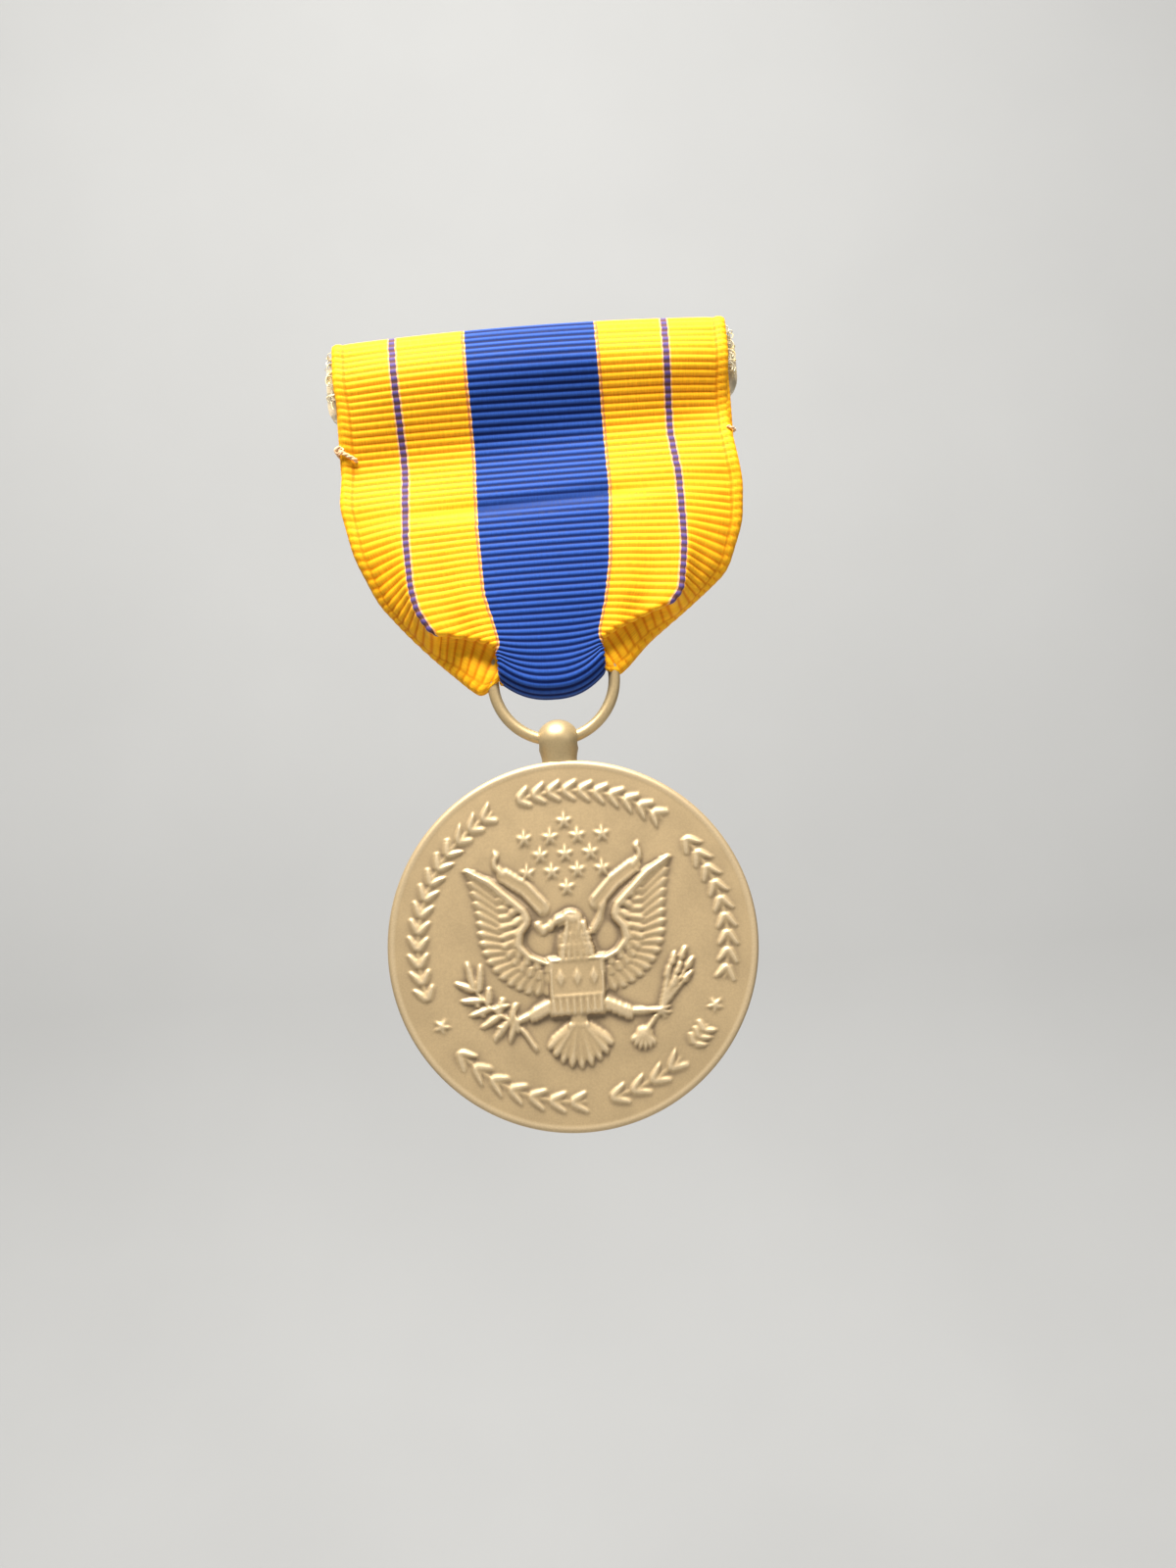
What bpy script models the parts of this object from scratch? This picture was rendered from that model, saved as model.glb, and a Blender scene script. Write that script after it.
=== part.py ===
"""Military service medal, hanging from its slot brooch.

A bronze medallion hangs by a brazed ball lug from a wire ring.  The ring hangs in the
pleated fold of a striped ribbon, and the ribbon is threaded over the rail of a brass slot
brooch with a hinged pin and a turning safety catch behind it.

The medal hangs upright as it is worn: +Z up, the front faces -Y, +X is the viewer's right.
The origin is on the pad pressed out of the brooch's back.  Dimensions below are in
millimetres, and every mesh is turned into metres when its object is made.
"""

import math

import bmesh
import bpy
from mathutils import Matrix, Vector

MM = 0.001

# Gaps between pieces that touch on the real medal
TOUCH_GAP = 0.3
BRAZE_GAP = 0.2

# Ribbon
RIBBON_WIDTH = 34.9
RIBBON_LAYER = 0.45
BUNDLE_THICKNESS = 1.5
SEAM_BELOW_TOP = 10.0
TAPER_BELOW_TOP = 16.8
RING_CENTRE_BELOW_TOP = 31.3
FOLD_BELOW_RING_CENTRE = 1.75
FOLD_HALF_WIDTH = 4.1
FOLD_CORNER_LIFT = 1.0

# Slot brooch
PLATE_WIDTH = 36.6
PLATE_THICKNESS = 0.8
PLATE_CORNER = 1.9
LOWER_BAR = 3.6
SLOT_HEIGHT = 1.3
SLOT_WIDTH = 35.5
RAIL_HEIGHT = 1.5
PAD_DEPTH = 0.2
PAD_LOW_X = -5.0
PAD_HIGH_X = 7.0
PAD_HALF_HEIGHT = 1.2

# Pin, hinge and catch
PIN_AXIS_Y = 2.8
PIN_HINGE_X = -13.8
PIN_RADIUS = 0.4
PIN_TIP_X = 15.2
PIN_POINT_LENGTH = 5.0
EYE_RADIUS = 1.05
EYE_HALF_LENGTH = 0.85
RIVET_RADIUS = 0.45
RIVET_HOLE_RADIUS = 0.6
RIVET_HEAD_RADIUS = 0.85
RIVET_HEAD_HEIGHT = 0.4
CHEEK_THICKNESS = 0.5
CHEEK_TOP_Y = 3.9
BRACKET_LENGTH = 2.8
FOOT_THICKNESS = 0.5
CATCH_X = 12.9
CATCH_LENGTH = 1.4
CATCH_OUTER_RADIUS = 1.95
CATCH_WALL = 0.5
LOCK_WALL = 0.4
LOCK_FLANGE = 0.4
LOCK_TAB_REACH = 2.5
LOCK_TAB_WIDTH = 1.1
CATCH_SLOT = 1.3

# Ring, lug and medallion
RING_OUTER_DIAMETER = 11.6
RING_WIRE_DIAMETER = 1.05
LUG_DIAMETER = 3.5
LUG_HOLE_DIAMETER = 2.0
LUG_NECK_DIAMETER = 2.5
LUG_FOOT_DIAMETER = 3.3
MEDALLION_DIAMETER = 31.75
MEDALLION_THICKNESS = 2.5
MEDALLION_BELOW_LUG = 17.8
RIM_WIDTH = 1.1
FIELD_RECESS = 0.45
TABLET_WIDTH = 11.0
TABLET_HEIGHT = 3.6

# Thread
THREAD_RADIUS = 0.2
STITCH_COUNT = 9
STITCH_LENGTH = 2.2
STITCH_PITCH = 3.3
TACK_REACH = 1.6

# Places worked out from the dimensions above
PLATE_BACK_Y = -PAD_DEPTH
PLATE_FRONT_Y = PLATE_BACK_Y - PLATE_THICKNESS
PLATE_LOW_Z = -LOWER_BAR / 2
SLOT_LOW_Z = LOWER_BAR / 2
RAIL_LOW_Z = SLOT_LOW_Z + SLOT_HEIGHT
PLATE_HIGH_Z = RAIL_LOW_Z + RAIL_HEIGHT
LAYER_STEP = RIBBON_LAYER + TOUCH_GAP
TURNED_END_Y = PLATE_FRONT_Y - TOUCH_GAP - RIBBON_LAYER / 2
HANG_Y = TURNED_END_Y - LAYER_STEP
BACK_PANEL_Y = TURNED_END_Y + LAYER_STEP
RIBBON_TOP_Z = PLATE_HIGH_Z + TOUCH_GAP + RIBBON_LAYER
DRAPE_SPLIT = 0.6
WRAP_LOW_Z = PLATE_LOW_Z - 0.1
DRAPE_HIGH_Z = WRAP_LOW_Z - DRAPE_SPLIT
SWING_AXIS_Z = (WRAP_LOW_Z + DRAPE_HIGH_Z) / 2
SEAM_Z = RIBBON_TOP_Z - SEAM_BELOW_TOP
RING_CENTRE_Z = RIBBON_TOP_Z - RING_CENTRE_BELOW_TOP
WIRE_RADIUS = RING_WIRE_DIAMETER / 2
RING_RADIUS = RING_OUTER_DIAMETER / 2 - WIRE_RADIUS
LUG_Z = RING_CENTRE_Z - RING_RADIUS
MEDALLION_Z = LUG_Z - MEDALLION_BELOW_LUG


def material(name, colour, roughness, metallic):
    """A plain Principled finish for one kind of stuff."""
    made = bpy.data.materials.new(name)
    made.use_nodes = True
    shader = made.node_tree.nodes["Principled BSDF"]
    shader.inputs["Base Color"].default_value = (*colour, 1.0)
    shader.inputs["Roughness"].default_value = roughness
    shader.inputs["Metallic"].default_value = metallic
    made.diffuse_color = (*colour, 1.0)
    return made


def finish(name, shape, origin, finish_material, smooth_angle=30.0):
    """Turn a bmesh in millimetres around origin into a named object in metres."""
    bmesh.ops.recalc_face_normals(shape, faces=shape.faces)
    bmesh.ops.scale(shape, vec=(MM, MM, MM), verts=shape.verts)
    mesh = bpy.data.meshes.new(name)
    shape.to_mesh(mesh)
    shape.free()
    mesh.shade_smooth()
    mesh.set_sharp_from_angle(angle=math.radians(smooth_angle))
    mesh.materials.append(finish_material)
    made = bpy.data.objects.new(name, mesh)
    made.location = Vector(origin) * MM
    bpy.context.scene.collection.objects.link(made)
    return made


def cutter(name, shape, origin, cut_object, operation="DIFFERENCE"):
    """Add a Boolean modifier whose other shape is hidden from the finished part."""
    tool = finish(name, shape, origin, cut_object.data.materials[0])
    tool.hide_render = True
    tool.display_type = "WIRE"
    change = cut_object.modifiers.new(name, "BOOLEAN")
    change.operation = operation
    change.solver = "EXACT"
    change.object = tool
    return tool


def bevelled(target, width, segments=2):
    """Round the sharp edges of an object, after any Boolean."""
    change = target.modifiers.new("edges", "BEVEL")
    change.width = width * MM
    change.segments = segments
    change.limit_method = "ANGLE"
    change.angle_limit = math.radians(40)


def extruded(outline, low, high, axis):
    """A closed prism: outline holds pairs in the two axes other than the given one."""
    order = {"X": (1, 2, 0), "Y": (0, 2, 1), "Z": (0, 1, 2)}[axis]
    shape = bmesh.new()

    def corner(pair, along):
        place = [0.0, 0.0, 0.0]
        for index, value in zip(order, (pair[0], pair[1], along)):
            place[index] = value
        return shape.verts.new(place)

    bottom = [corner(pair, low) for pair in outline]
    top = [corner(pair, high) for pair in outline]
    shape.faces.new(bottom)
    shape.faces.new(top)
    count = len(outline)
    for index in range(count):
        after = (index + 1) % count
        shape.faces.new((bottom[index], bottom[after], top[after], top[index]))
    return shape


def box(low, high):
    """A box between two opposite corners."""
    outline = [(low[0], low[1]), (high[0], low[1]), (high[0], high[1]), (low[0], high[1])]
    return extruded(outline, low[2], high[2], "Z")


def rounded_rectangle(half_width, low, high, radius, steps=5):
    """The outline of a plate with round corners."""
    centres = [
        (half_width - radius, low + radius, -90),
        (half_width - radius, high - radius, 0),
        (-half_width + radius, high - radius, 90),
        (-half_width + radius, low + radius, 180),
    ]
    outline = []
    for centre_x, centre_z, start in centres:
        for step in range(steps + 1):
            turn = math.radians(start + 90 * step / steps)
            outline.append((centre_x + radius * math.cos(turn), centre_z + radius * math.sin(turn)))
    return outline


def turned(profile, axis, steps, closed=False):
    """A body of revolution: profile holds (radius, distance along the axis) pairs."""
    shape = bmesh.new()
    across, along = {"X": ("Y", "X"), "Y": ("X", "Y"), "Z": ("X", "Z")}[axis]
    unit = {"X": Vector((1, 0, 0)), "Y": Vector((0, 1, 0)), "Z": Vector((0, 0, 1))}
    points = [shape.verts.new(unit[across] * radius + unit[along] * far) for radius, far in profile]
    edges = [shape.edges.new(pair) for pair in zip(points, points[1:])]
    if closed:
        edges.append(shape.edges.new((points[-1], points[0])))
    bmesh.ops.spin(
        shape,
        geom=points + edges,
        cent=(0, 0, 0),
        axis=unit[along],
        angle=2 * math.pi,
        steps=steps,
        use_merge=True,
    )
    bmesh.ops.remove_doubles(shape, verts=shape.verts, dist=1e-4)
    return shape


def rounded_path(corners, radius, steps=5):
    """A path through corner points, each corner turned with an arc that fits its legs."""
    points = [Vector(corners[0])]
    for before, corner, after in zip(corners, corners[1:], corners[2:]):
        corner = Vector(corner)
        leg_in = Vector(before) - corner
        leg_out = Vector(after) - corner
        trim = min(radius, 0.45 * leg_in.length, 0.45 * leg_out.length)
        start = corner + leg_in.normalized() * trim
        end = corner + leg_out.normalized() * trim
        for step in range(steps + 1):
            part = step / steps
            points.append(start * (1 - part) ** 2 + corner * 2 * part * (1 - part) + end * part**2)
    points.append(Vector(corners[-1]))
    return points


def strip_outline(path, thickness):
    """The closed outline of a strip of even thickness that follows a path."""
    left = []
    right = []
    for index, point in enumerate(path):
        before = path[max(index - 1, 0)]
        after = path[min(index + 1, len(path) - 1)]
        along = (after - before).normalized()
        side = Vector((-along.y, along.x)) * thickness / 2
        left.append(tuple(point + side))
        right.append(tuple(point - side))
    return left + right[::-1]


def smooth(value):
    """An S-curve from 0 to 1."""
    value = min(max(value, 0.0), 1.0)
    return value * value * (3 - 2 * value)


def brooch_plate(brass):
    """The stamped plate: a rail, a slot for the ribbon and a lower bar with a pad."""
    outline = rounded_rectangle(PLATE_WIDTH / 2, PLATE_LOW_Z, PLATE_HIGH_Z, PLATE_CORNER)
    shape = extruded(outline, PLATE_FRONT_Y, PLATE_BACK_Y, "Y")
    plate = finish("brooch_plate", shape, (0, 0, 0), brass)
    slot = box(
        (-SLOT_WIDTH / 2, PLATE_FRONT_Y - 1, SLOT_LOW_Z),
        (SLOT_WIDTH / 2, PLATE_BACK_Y + 1, RAIL_LOW_Z),
    )
    cutter("slot_cut", slot, (0, 0, 0), plate)
    pad = box((PAD_LOW_X, PLATE_BACK_Y - 0.2, -PAD_HALF_HEIGHT), (PAD_HIGH_X, 0, PAD_HALF_HEIGHT))
    cutter("pad_press", pad, (0, 0, 0), plate, "UNION")
    return plate


def hinge_bracket(brass):
    """A folded U whose cheeks carry the hinge rivet."""
    foot_y = PLATE_BACK_Y + TOUCH_GAP
    inner = EYE_HALF_LENGTH + TOUCH_GAP
    outer = inner + CHEEK_THICKNESS
    floor_y = foot_y + FOOT_THICKNESS
    outline = [
        (foot_y, -outer),
        (CHEEK_TOP_Y, -outer),
        (CHEEK_TOP_Y, -inner),
        (floor_y, -inner),
        (floor_y, inner),
        (CHEEK_TOP_Y, inner),
        (CHEEK_TOP_Y, outer),
        (foot_y, outer),
    ]
    low = PIN_HINGE_X - BRACKET_LENGTH / 2
    shape = extruded(outline, low, low + BRACKET_LENGTH, "X")
    bracket = finish("pin_hinge_bracket", shape, (0, 0, 0), brass)
    bevelled(bracket, 0.12, 1)
    hole = turned([(0, -3), (RIVET_HOLE_RADIUS, -3), (RIVET_HOLE_RADIUS, 3), (0, 3)], "Z", 20)
    cutter("rivet_hole_cut", hole, (PIN_HINGE_X, PIN_AXIS_Y, 0), bracket)
    return outer


def hinge_rivet(brass, cheek_outside):
    """The rivet through the cheeks, with a domed head on each side."""
    seat = cheek_outside + 0.1
    top = seat + RIVET_HEAD_HEIGHT
    half = [
        (RIVET_RADIUS, 0),
        (RIVET_RADIUS, seat),
        (RIVET_HEAD_RADIUS, seat),
        (RIVET_HEAD_RADIUS * 0.8, seat + RIVET_HEAD_HEIGHT * 0.7),
        (0, top),
    ]
    lower = [(radius, -far) for radius, far in half[:0:-1]]
    finish("pin_hinge_rivet", turned(lower + half, "Z", 20), (PIN_HINGE_X, PIN_AXIS_Y, 0), brass)


def pin_stem(steel):
    """The pin: a rolled eye on the rivet and a straight wire drawn to a point."""
    eye = turned(
        [
            (RIVET_HOLE_RADIUS, -EYE_HALF_LENGTH),
            (EYE_RADIUS, -EYE_HALF_LENGTH),
            (EYE_RADIUS, EYE_HALF_LENGTH),
            (RIVET_HOLE_RADIUS, EYE_HALF_LENGTH),
        ],
        "Z",
        24,
        closed=True,
    )
    stem = finish("pin_stem", eye, (PIN_HINGE_X, PIN_AXIS_Y, 0), steel)
    start = (EYE_RADIUS + RIVET_HOLE_RADIUS) / 2
    length = PIN_TIP_X - PIN_HINGE_X
    wire = turned(
        [
            (0, start),
            (PIN_RADIUS, start),
            (PIN_RADIUS, length - PIN_POINT_LENGTH),
            (PIN_RADIUS * 0.7, length - PIN_POINT_LENGTH * 0.4),
            (PIN_RADIUS * 0.2, length - 0.1),
            (0, length),
        ],
        "X",
        14,
    )
    cutter("pin_wire", wire, (PIN_HINGE_X, PIN_AXIS_Y, 0), stem, "UNION")


def catch_slot_cut(name, target, length):
    """Open the side of a catch ring that faces away from the plate."""
    reach = CATCH_OUTER_RADIUS + 1
    cut = box((-length, 0, -CATCH_SLOT / 2), (length, reach, CATCH_SLOT / 2))
    cutter(name, cut, (CATCH_X, PIN_AXIS_Y, 0), target)


def catch_housing(brass):
    """The fixed C of the safety catch, on its foot."""
    inner = CATCH_OUTER_RADIUS - CATCH_WALL
    half = CATCH_LENGTH / 2
    ring = turned(
        [(inner, -half), (CATCH_OUTER_RADIUS, -half), (CATCH_OUTER_RADIUS, half), (inner, half)],
        "X",
        28,
        closed=True,
    )
    housing = finish("catch_housing", ring, (CATCH_X, PIN_AXIS_Y, 0), brass)
    foot_y = PLATE_BACK_Y + TOUCH_GAP - PIN_AXIS_Y
    foot = box((-half, foot_y, -1.2), (half, -inner - CATCH_WALL / 2, 1.2))
    cutter("catch_foot", foot, (CATCH_X, PIN_AXIS_Y, 0), housing, "UNION")
    catch_slot_cut("catch_mouth_cut", housing, 4)


def catch_lock(brass):
    """The turning sleeve inside the catch, with two flanges and a thumb tab."""
    outer = CATCH_OUTER_RADIUS - CATCH_WALL - TOUCH_GAP
    inner = outer - LOCK_WALL
    flange = outer + 0.35
    near = CATCH_LENGTH / 2 + TOUCH_GAP
    far = near + LOCK_FLANGE
    sleeve = turned(
        [
            (inner, -far),
            (flange, -far),
            (flange, -near),
            (outer, -near),
            (outer, near),
            (flange, near),
            (flange, far),
            (inner, far),
        ],
        "X",
        28,
        closed=True,
    )
    lock = finish("catch_lock", sleeve, (CATCH_X, PIN_AXIS_Y, 0), brass)
    tab = box(
        (near + 0.02, -LOCK_TAB_WIDTH / 2, -LOCK_TAB_REACH),
        (far + 0.15, LOCK_TAB_WIDTH / 2, -(inner + outer) / 2),
    )
    cutter("lock_tab", tab, (CATCH_X, PIN_AXIS_Y, 0), lock, "UNION")
    catch_slot_cut("lock_mouth_cut", lock, 4)


def ribbon_wrap(cloth):
    """The ribbon round the rail: up the front, over, down behind and out of the slot."""
    slot_mid = (SLOT_LOW_Z + RAIL_LOW_Z) / 2
    over = RIBBON_TOP_Z - RIBBON_LAYER / 2
    behind = PLATE_BACK_Y + TOUCH_GAP + RIBBON_LAYER / 2
    corners = [
        (HANG_Y, WRAP_LOW_Z),
        (HANG_Y, over),
        (behind, over),
        (behind, slot_mid),
        (TURNED_END_Y, slot_mid),
        (TURNED_END_Y, WRAP_LOW_Z),
    ]
    outline = strip_outline(rounded_path(corners, 0.9), RIBBON_LAYER)
    shape = extruded(outline, -RIBBON_WIDTH / 2, RIBBON_WIDTH / 2, "X")
    finish("ribbon_brooch_wrap", shape, (0, 0, 0), cloth)


def turned_end(cloth):
    """The strip's inner end, from below the brooch to just past the seam."""
    low = SEAM_Z - 1.5
    shape = box(
        (-RIBBON_WIDTH / 2, TURNED_END_Y - RIBBON_LAYER / 2, low),
        (RIBBON_WIDTH / 2, TURNED_END_Y + RIBBON_LAYER / 2, DRAPE_HIGH_Z),
    )
    shifted = Vector((0, HANG_Y, SWING_AXIS_Z))
    bmesh.ops.translate(shape, vec=-shifted, verts=shape.verts)
    finish("ribbon_turned_end", shape, shifted, cloth)


def drape_sections():
    """The drape's centre line as (y, z, half width, thickness, corner lift) sections."""
    fold_radius = WIRE_RADIUS + TOUCH_GAP + BUNDLE_THICKNESS / 2
    fold_low = RING_CENTRE_Z - FOLD_BELOW_RING_CENTRE
    fold_z = fold_low + BUNDLE_THICKNESS / 2 + fold_radius
    taper_z = RIBBON_TOP_Z - TAPER_BELOW_TOP
    thin_low_z = -8.0
    thick_high_z = -18.0
    mouth = FOLD_HALF_WIDTH + 0.3

    def half_width(z):
        share = min(max((taper_z - z) / (taper_z - RING_CENTRE_Z), 0.0), 1.0)
        return mouth + (RIBBON_WIDTH / 2 - mouth) * (1 - share**2)

    def panel(z, start_y, end_y):
        share = smooth((thin_low_z - z) / (thin_low_z - thick_high_z))
        thickness = RIBBON_LAYER + (BUNDLE_THICKNESS - RIBBON_LAYER) * share
        return (start_y + (end_y - start_y) * share, z, half_width(z), thickness, 0.0)

    rows = 16
    front = []
    back = []
    back_high_z = SEAM_Z + 1.2
    for row in range(rows):
        part = row / rows
        front.append(panel(DRAPE_HIGH_Z + (fold_z - DRAPE_HIGH_Z) * part, HANG_Y, HANG_Y - fold_radius))
        rise = (row + 1) / rows
        back.append(panel(fold_z + (back_high_z - fold_z) * rise, BACK_PANEL_Y, HANG_Y + fold_radius))
    fold = []
    turns = 12
    for turn in range(turns + 1):
        angle = math.pi * turn / turns
        open_share = smooth(1 - math.sin(angle) / math.sin(math.radians(35)))
        width = FOLD_HALF_WIDTH + (half_width(fold_z) - FOLD_HALF_WIDTH) * open_share
        y = HANG_Y - fold_radius * math.cos(angle)
        z = fold_z - fold_radius * math.sin(angle)
        fold.append((y, z, width, BUNDLE_THICKNESS, FOLD_CORNER_LIFT * math.sin(angle)))
    return front + fold + back


def ribbon_drape(cloth):
    """The hanging loop of ribbon: front panel, fold through the ring, back panel."""
    sections = drape_sections()
    columns = 12
    shape = bmesh.new()
    faces = []
    for side in (-1, 1):
        grid = []
        for index, (y, z, half, thickness, lift) in enumerate(sections):
            before = sections[max(index - 1, 0)]
            after = sections[min(index + 1, len(sections) - 1)]
            along = Vector((after[0] - before[0], after[1] - before[1])).normalized()
            normal = Vector((-along.y, along.x)) * side * thickness / 2
            row = []
            for column in range(columns + 1):
                across = 2 * column / columns - 1
                place = (
                    across * half,
                    y + normal.x - HANG_Y,
                    z + normal.y + lift * across**2 - SWING_AXIS_Z,
                )
                row.append(shape.verts.new(place))
            grid.append(row)
        faces.append(grid)
    outer, inner = faces
    last = len(sections) - 1
    for grid in faces:
        for row in range(last):
            for column in range(columns):
                shape.faces.new(
                    (
                        grid[row][column],
                        grid[row][column + 1],
                        grid[row + 1][column + 1],
                        grid[row + 1][column],
                    )
                )
    for row in range(last):
        for column in (0, columns):
            shape.faces.new(
                (outer[row][column], outer[row + 1][column], inner[row + 1][column], inner[row][column])
            )
    for column in range(columns):
        for row in (0, last):
            shape.faces.new(
                (outer[row][column], outer[row][column + 1], inner[row][column + 1], inner[row][column])
            )
    finish("ribbon_drape", shape, (0, HANG_Y, SWING_AXIS_Z), cloth)


def edge_tack(name, side, thread):
    """A loop of thread round the ribbon's edge that holds the three layers together."""
    outside = RIBBON_WIDTH / 2 + TOUCH_GAP + THREAD_RADIUS
    inside = outside - TACK_REACH
    front = HANG_Y - RIBBON_LAYER / 2 - TOUCH_GAP - THREAD_RADIUS
    back = BACK_PANEL_Y + RIBBON_LAYER / 2 + TOUCH_GAP + THREAD_RADIUS
    corners = [(inside, front), (outside, front), (outside, back), (inside, back)]
    path = rounded_path(corners, 0.4, 3)
    curve = bpy.data.curves.new(name, "CURVE")
    curve.dimensions = "3D"
    curve.bevel_depth = THREAD_RADIUS * MM
    curve.bevel_resolution = 2
    curve.use_fill_caps = True
    spline = curve.splines.new("POLY")
    spline.points.add(len(path) - 1)
    for point, (x, y) in zip(spline.points, path):
        point.co = (side * x * MM, (y - HANG_Y) * MM, (SEAM_Z - SWING_AXIS_Z) * MM, 1)
    curve.materials.append(thread)
    made = bpy.data.objects.new(name, curve)
    made.location = Vector((0, HANG_Y, SWING_AXIS_Z)) * MM
    bpy.context.scene.collection.objects.link(made)


def seam_stitches(thread):
    """The row of stitches on the back panel, each one a short round-ended thread."""
    half = STITCH_LENGTH / 2
    profile = [
        (0, -half),
        (THREAD_RADIUS * 0.8, -half + THREAD_RADIUS * 0.5),
        (THREAD_RADIUS, -half + THREAD_RADIUS * 1.5),
        (THREAD_RADIUS, half - THREAD_RADIUS * 1.5),
        (THREAD_RADIUS * 0.8, half - THREAD_RADIUS * 0.5),
        (0, half),
    ]
    y = BACK_PANEL_Y + RIBBON_LAYER / 2 + TOUCH_GAP + THREAD_RADIUS
    for number in range(STITCH_COUNT):
        x = (number - (STITCH_COUNT - 1) / 2) * STITCH_PITCH
        finish(f"seam_stitch_{number + 1}", turned(profile, "X", 8), (x, y, SEAM_Z), thread)


def suspension_ring(brass):
    """The closed wire ring, whose plane faces the front."""
    wire = []
    sides = 14
    for step in range(sides):
        turn = 2 * math.pi * step / sides
        wire.append((RING_RADIUS + WIRE_RADIUS * math.cos(turn), WIRE_RADIUS * math.sin(turn)))
    shape = turned(wire, "Y", 72, closed=True)
    finish("suspension_ring", shape, (0, HANG_Y, RING_CENTRE_Z), brass)


def suspension_ball(brass):
    """The ball lug, bored for the ring and brazed to the rim by a short neck."""
    ball = LUG_DIAMETER / 2
    neck = LUG_NECK_DIAMETER / 2
    rim_z = -(MEDALLION_BELOW_LUG - MEDALLION_DIAMETER / 2)
    meeting = math.asin(neck / ball)
    steps = 10
    profile = []
    for step in range(steps + 1):
        angle = (math.pi - meeting) * step / steps
        profile.append((ball * math.sin(angle), ball * math.cos(angle)))
    profile.append((LUG_FOOT_DIAMETER / 2, rim_z + 0.05))
    profile.append((LUG_FOOT_DIAMETER / 2, rim_z - 0.6))
    profile.append((0, rim_z - 0.6))
    lug = finish("suspension_ball", turned(profile, "Z", 32), (0, HANG_Y, LUG_Z), brass)
    radius = LUG_HOLE_DIAMETER / 2
    hole = turned([(0, -3), (radius, -3), (radius, 3), (0, 3)], "X", 28)
    cutter("lug_hole_cut", hole, (0, HANG_Y, LUG_Z), lug)
    rim = MEDALLION_DIAMETER / 2 + BRAZE_GAP
    disc = turned([(0, -3), (rim, -3), (rim, 3), (0, 3)], "Y", 128)
    cutter("lug_seat_cut", disc, (0, HANG_Y, MEDALLION_Z), lug)


def medallion(bronze):
    """The struck disc: raised rims, sunk fields and a flat tablet on the reverse."""
    outer = MEDALLION_DIAMETER / 2
    half = MEDALLION_THICKNESS / 2
    rim_in = outer - RIM_WIDTH
    field = half - FIELD_RECESS
    face = [
        (rim_in - 0.5, field),
        (rim_in, half - 0.08),
        (rim_in + 0.3, half),
        (outer - 0.35, half),
        (outer - 0.1, half - 0.12),
        (outer, half - 0.4),
    ]
    front = [(0, -field)] + [(radius, -far) for radius, far in face]
    back = face[::-1] + [(0, field)]
    disc = finish("medallion", turned(front + back, "Y", 96), (0, HANG_Y, LUG_Z), bronze)
    offset = Matrix.Translation((0, 0, -MEDALLION_BELOW_LUG * MM))
    disc.data.transform(offset)
    tablet = box(
        (-TABLET_WIDTH / 2, field - 0.3, -TABLET_HEIGHT / 2),
        (TABLET_WIDTH / 2, half, TABLET_HEIGHT / 2),
    )
    cutter("reverse_tablet", tablet, (0, HANG_Y, MEDALLION_Z), disc, "UNION")


def clear_scene():
    for old in list(bpy.data.objects):
        bpy.data.objects.remove(old, do_unlink=True)


def build():
    clear_scene()
    brass = material("brooch_brass", (0.66, 0.52, 0.28), 0.35, 1.0)
    steel = material("pin_nickel", (0.74, 0.72, 0.66), 0.3, 1.0)
    cloth = material("ribbon_cloth", (0.93, 0.68, 0.05), 0.85, 0.0)
    thread = material("sewing_thread", (0.80, 0.58, 0.36), 0.9, 0.0)
    ring_bronze = material("ring_bronze", (0.62, 0.50, 0.30), 0.4, 1.0)
    bronze = material("medal_bronze", (0.50, 0.39, 0.24), 0.5, 1.0)
    brooch_plate(brass)
    cheek_outside = hinge_bracket(brass)
    hinge_rivet(brass, cheek_outside)
    pin_stem(steel)
    catch_housing(brass)
    catch_lock(brass)
    ribbon_wrap(cloth)
    turned_end(cloth)
    ribbon_drape(cloth)
    edge_tack("edge_tack_left", -1, thread)
    edge_tack("edge_tack_right", 1, thread)
    seam_stitches(thread)
    suspension_ring(ring_bronze)
    suspension_ball(ring_bronze)
    medallion(bronze)


build()
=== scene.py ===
"""Looks of the military service medal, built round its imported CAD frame.

The striped grosgrain ribbon is one closed sheet that is threaded over the brooch, pleated
at the bottom and folded through the ring.  The medallion is a struck relief, drawn in disc
radii.  Other lengths are in millimetres until a mesh is made; "across" and "along" are
measured on the flat ribbon, from its middle and from its inner end.
"""

import math

import bmesh
import bpy
import numpy as np
from mathutils import Matrix, Vector


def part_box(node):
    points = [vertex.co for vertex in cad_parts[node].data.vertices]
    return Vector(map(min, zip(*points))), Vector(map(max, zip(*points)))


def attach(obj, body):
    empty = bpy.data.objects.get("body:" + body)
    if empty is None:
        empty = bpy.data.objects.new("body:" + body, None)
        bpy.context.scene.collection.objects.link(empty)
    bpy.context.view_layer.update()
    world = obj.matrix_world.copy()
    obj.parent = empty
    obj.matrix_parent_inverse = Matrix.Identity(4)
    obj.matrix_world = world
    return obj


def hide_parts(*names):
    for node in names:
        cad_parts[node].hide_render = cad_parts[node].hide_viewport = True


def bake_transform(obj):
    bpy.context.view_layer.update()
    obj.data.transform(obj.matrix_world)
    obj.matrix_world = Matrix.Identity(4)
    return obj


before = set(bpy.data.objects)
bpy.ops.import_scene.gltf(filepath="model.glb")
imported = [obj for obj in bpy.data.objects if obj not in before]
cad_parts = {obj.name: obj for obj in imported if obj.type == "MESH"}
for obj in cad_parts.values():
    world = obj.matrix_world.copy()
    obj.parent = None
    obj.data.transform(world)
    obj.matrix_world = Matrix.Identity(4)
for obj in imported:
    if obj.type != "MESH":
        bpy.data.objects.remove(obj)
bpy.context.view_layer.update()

MM = 0.001


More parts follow.
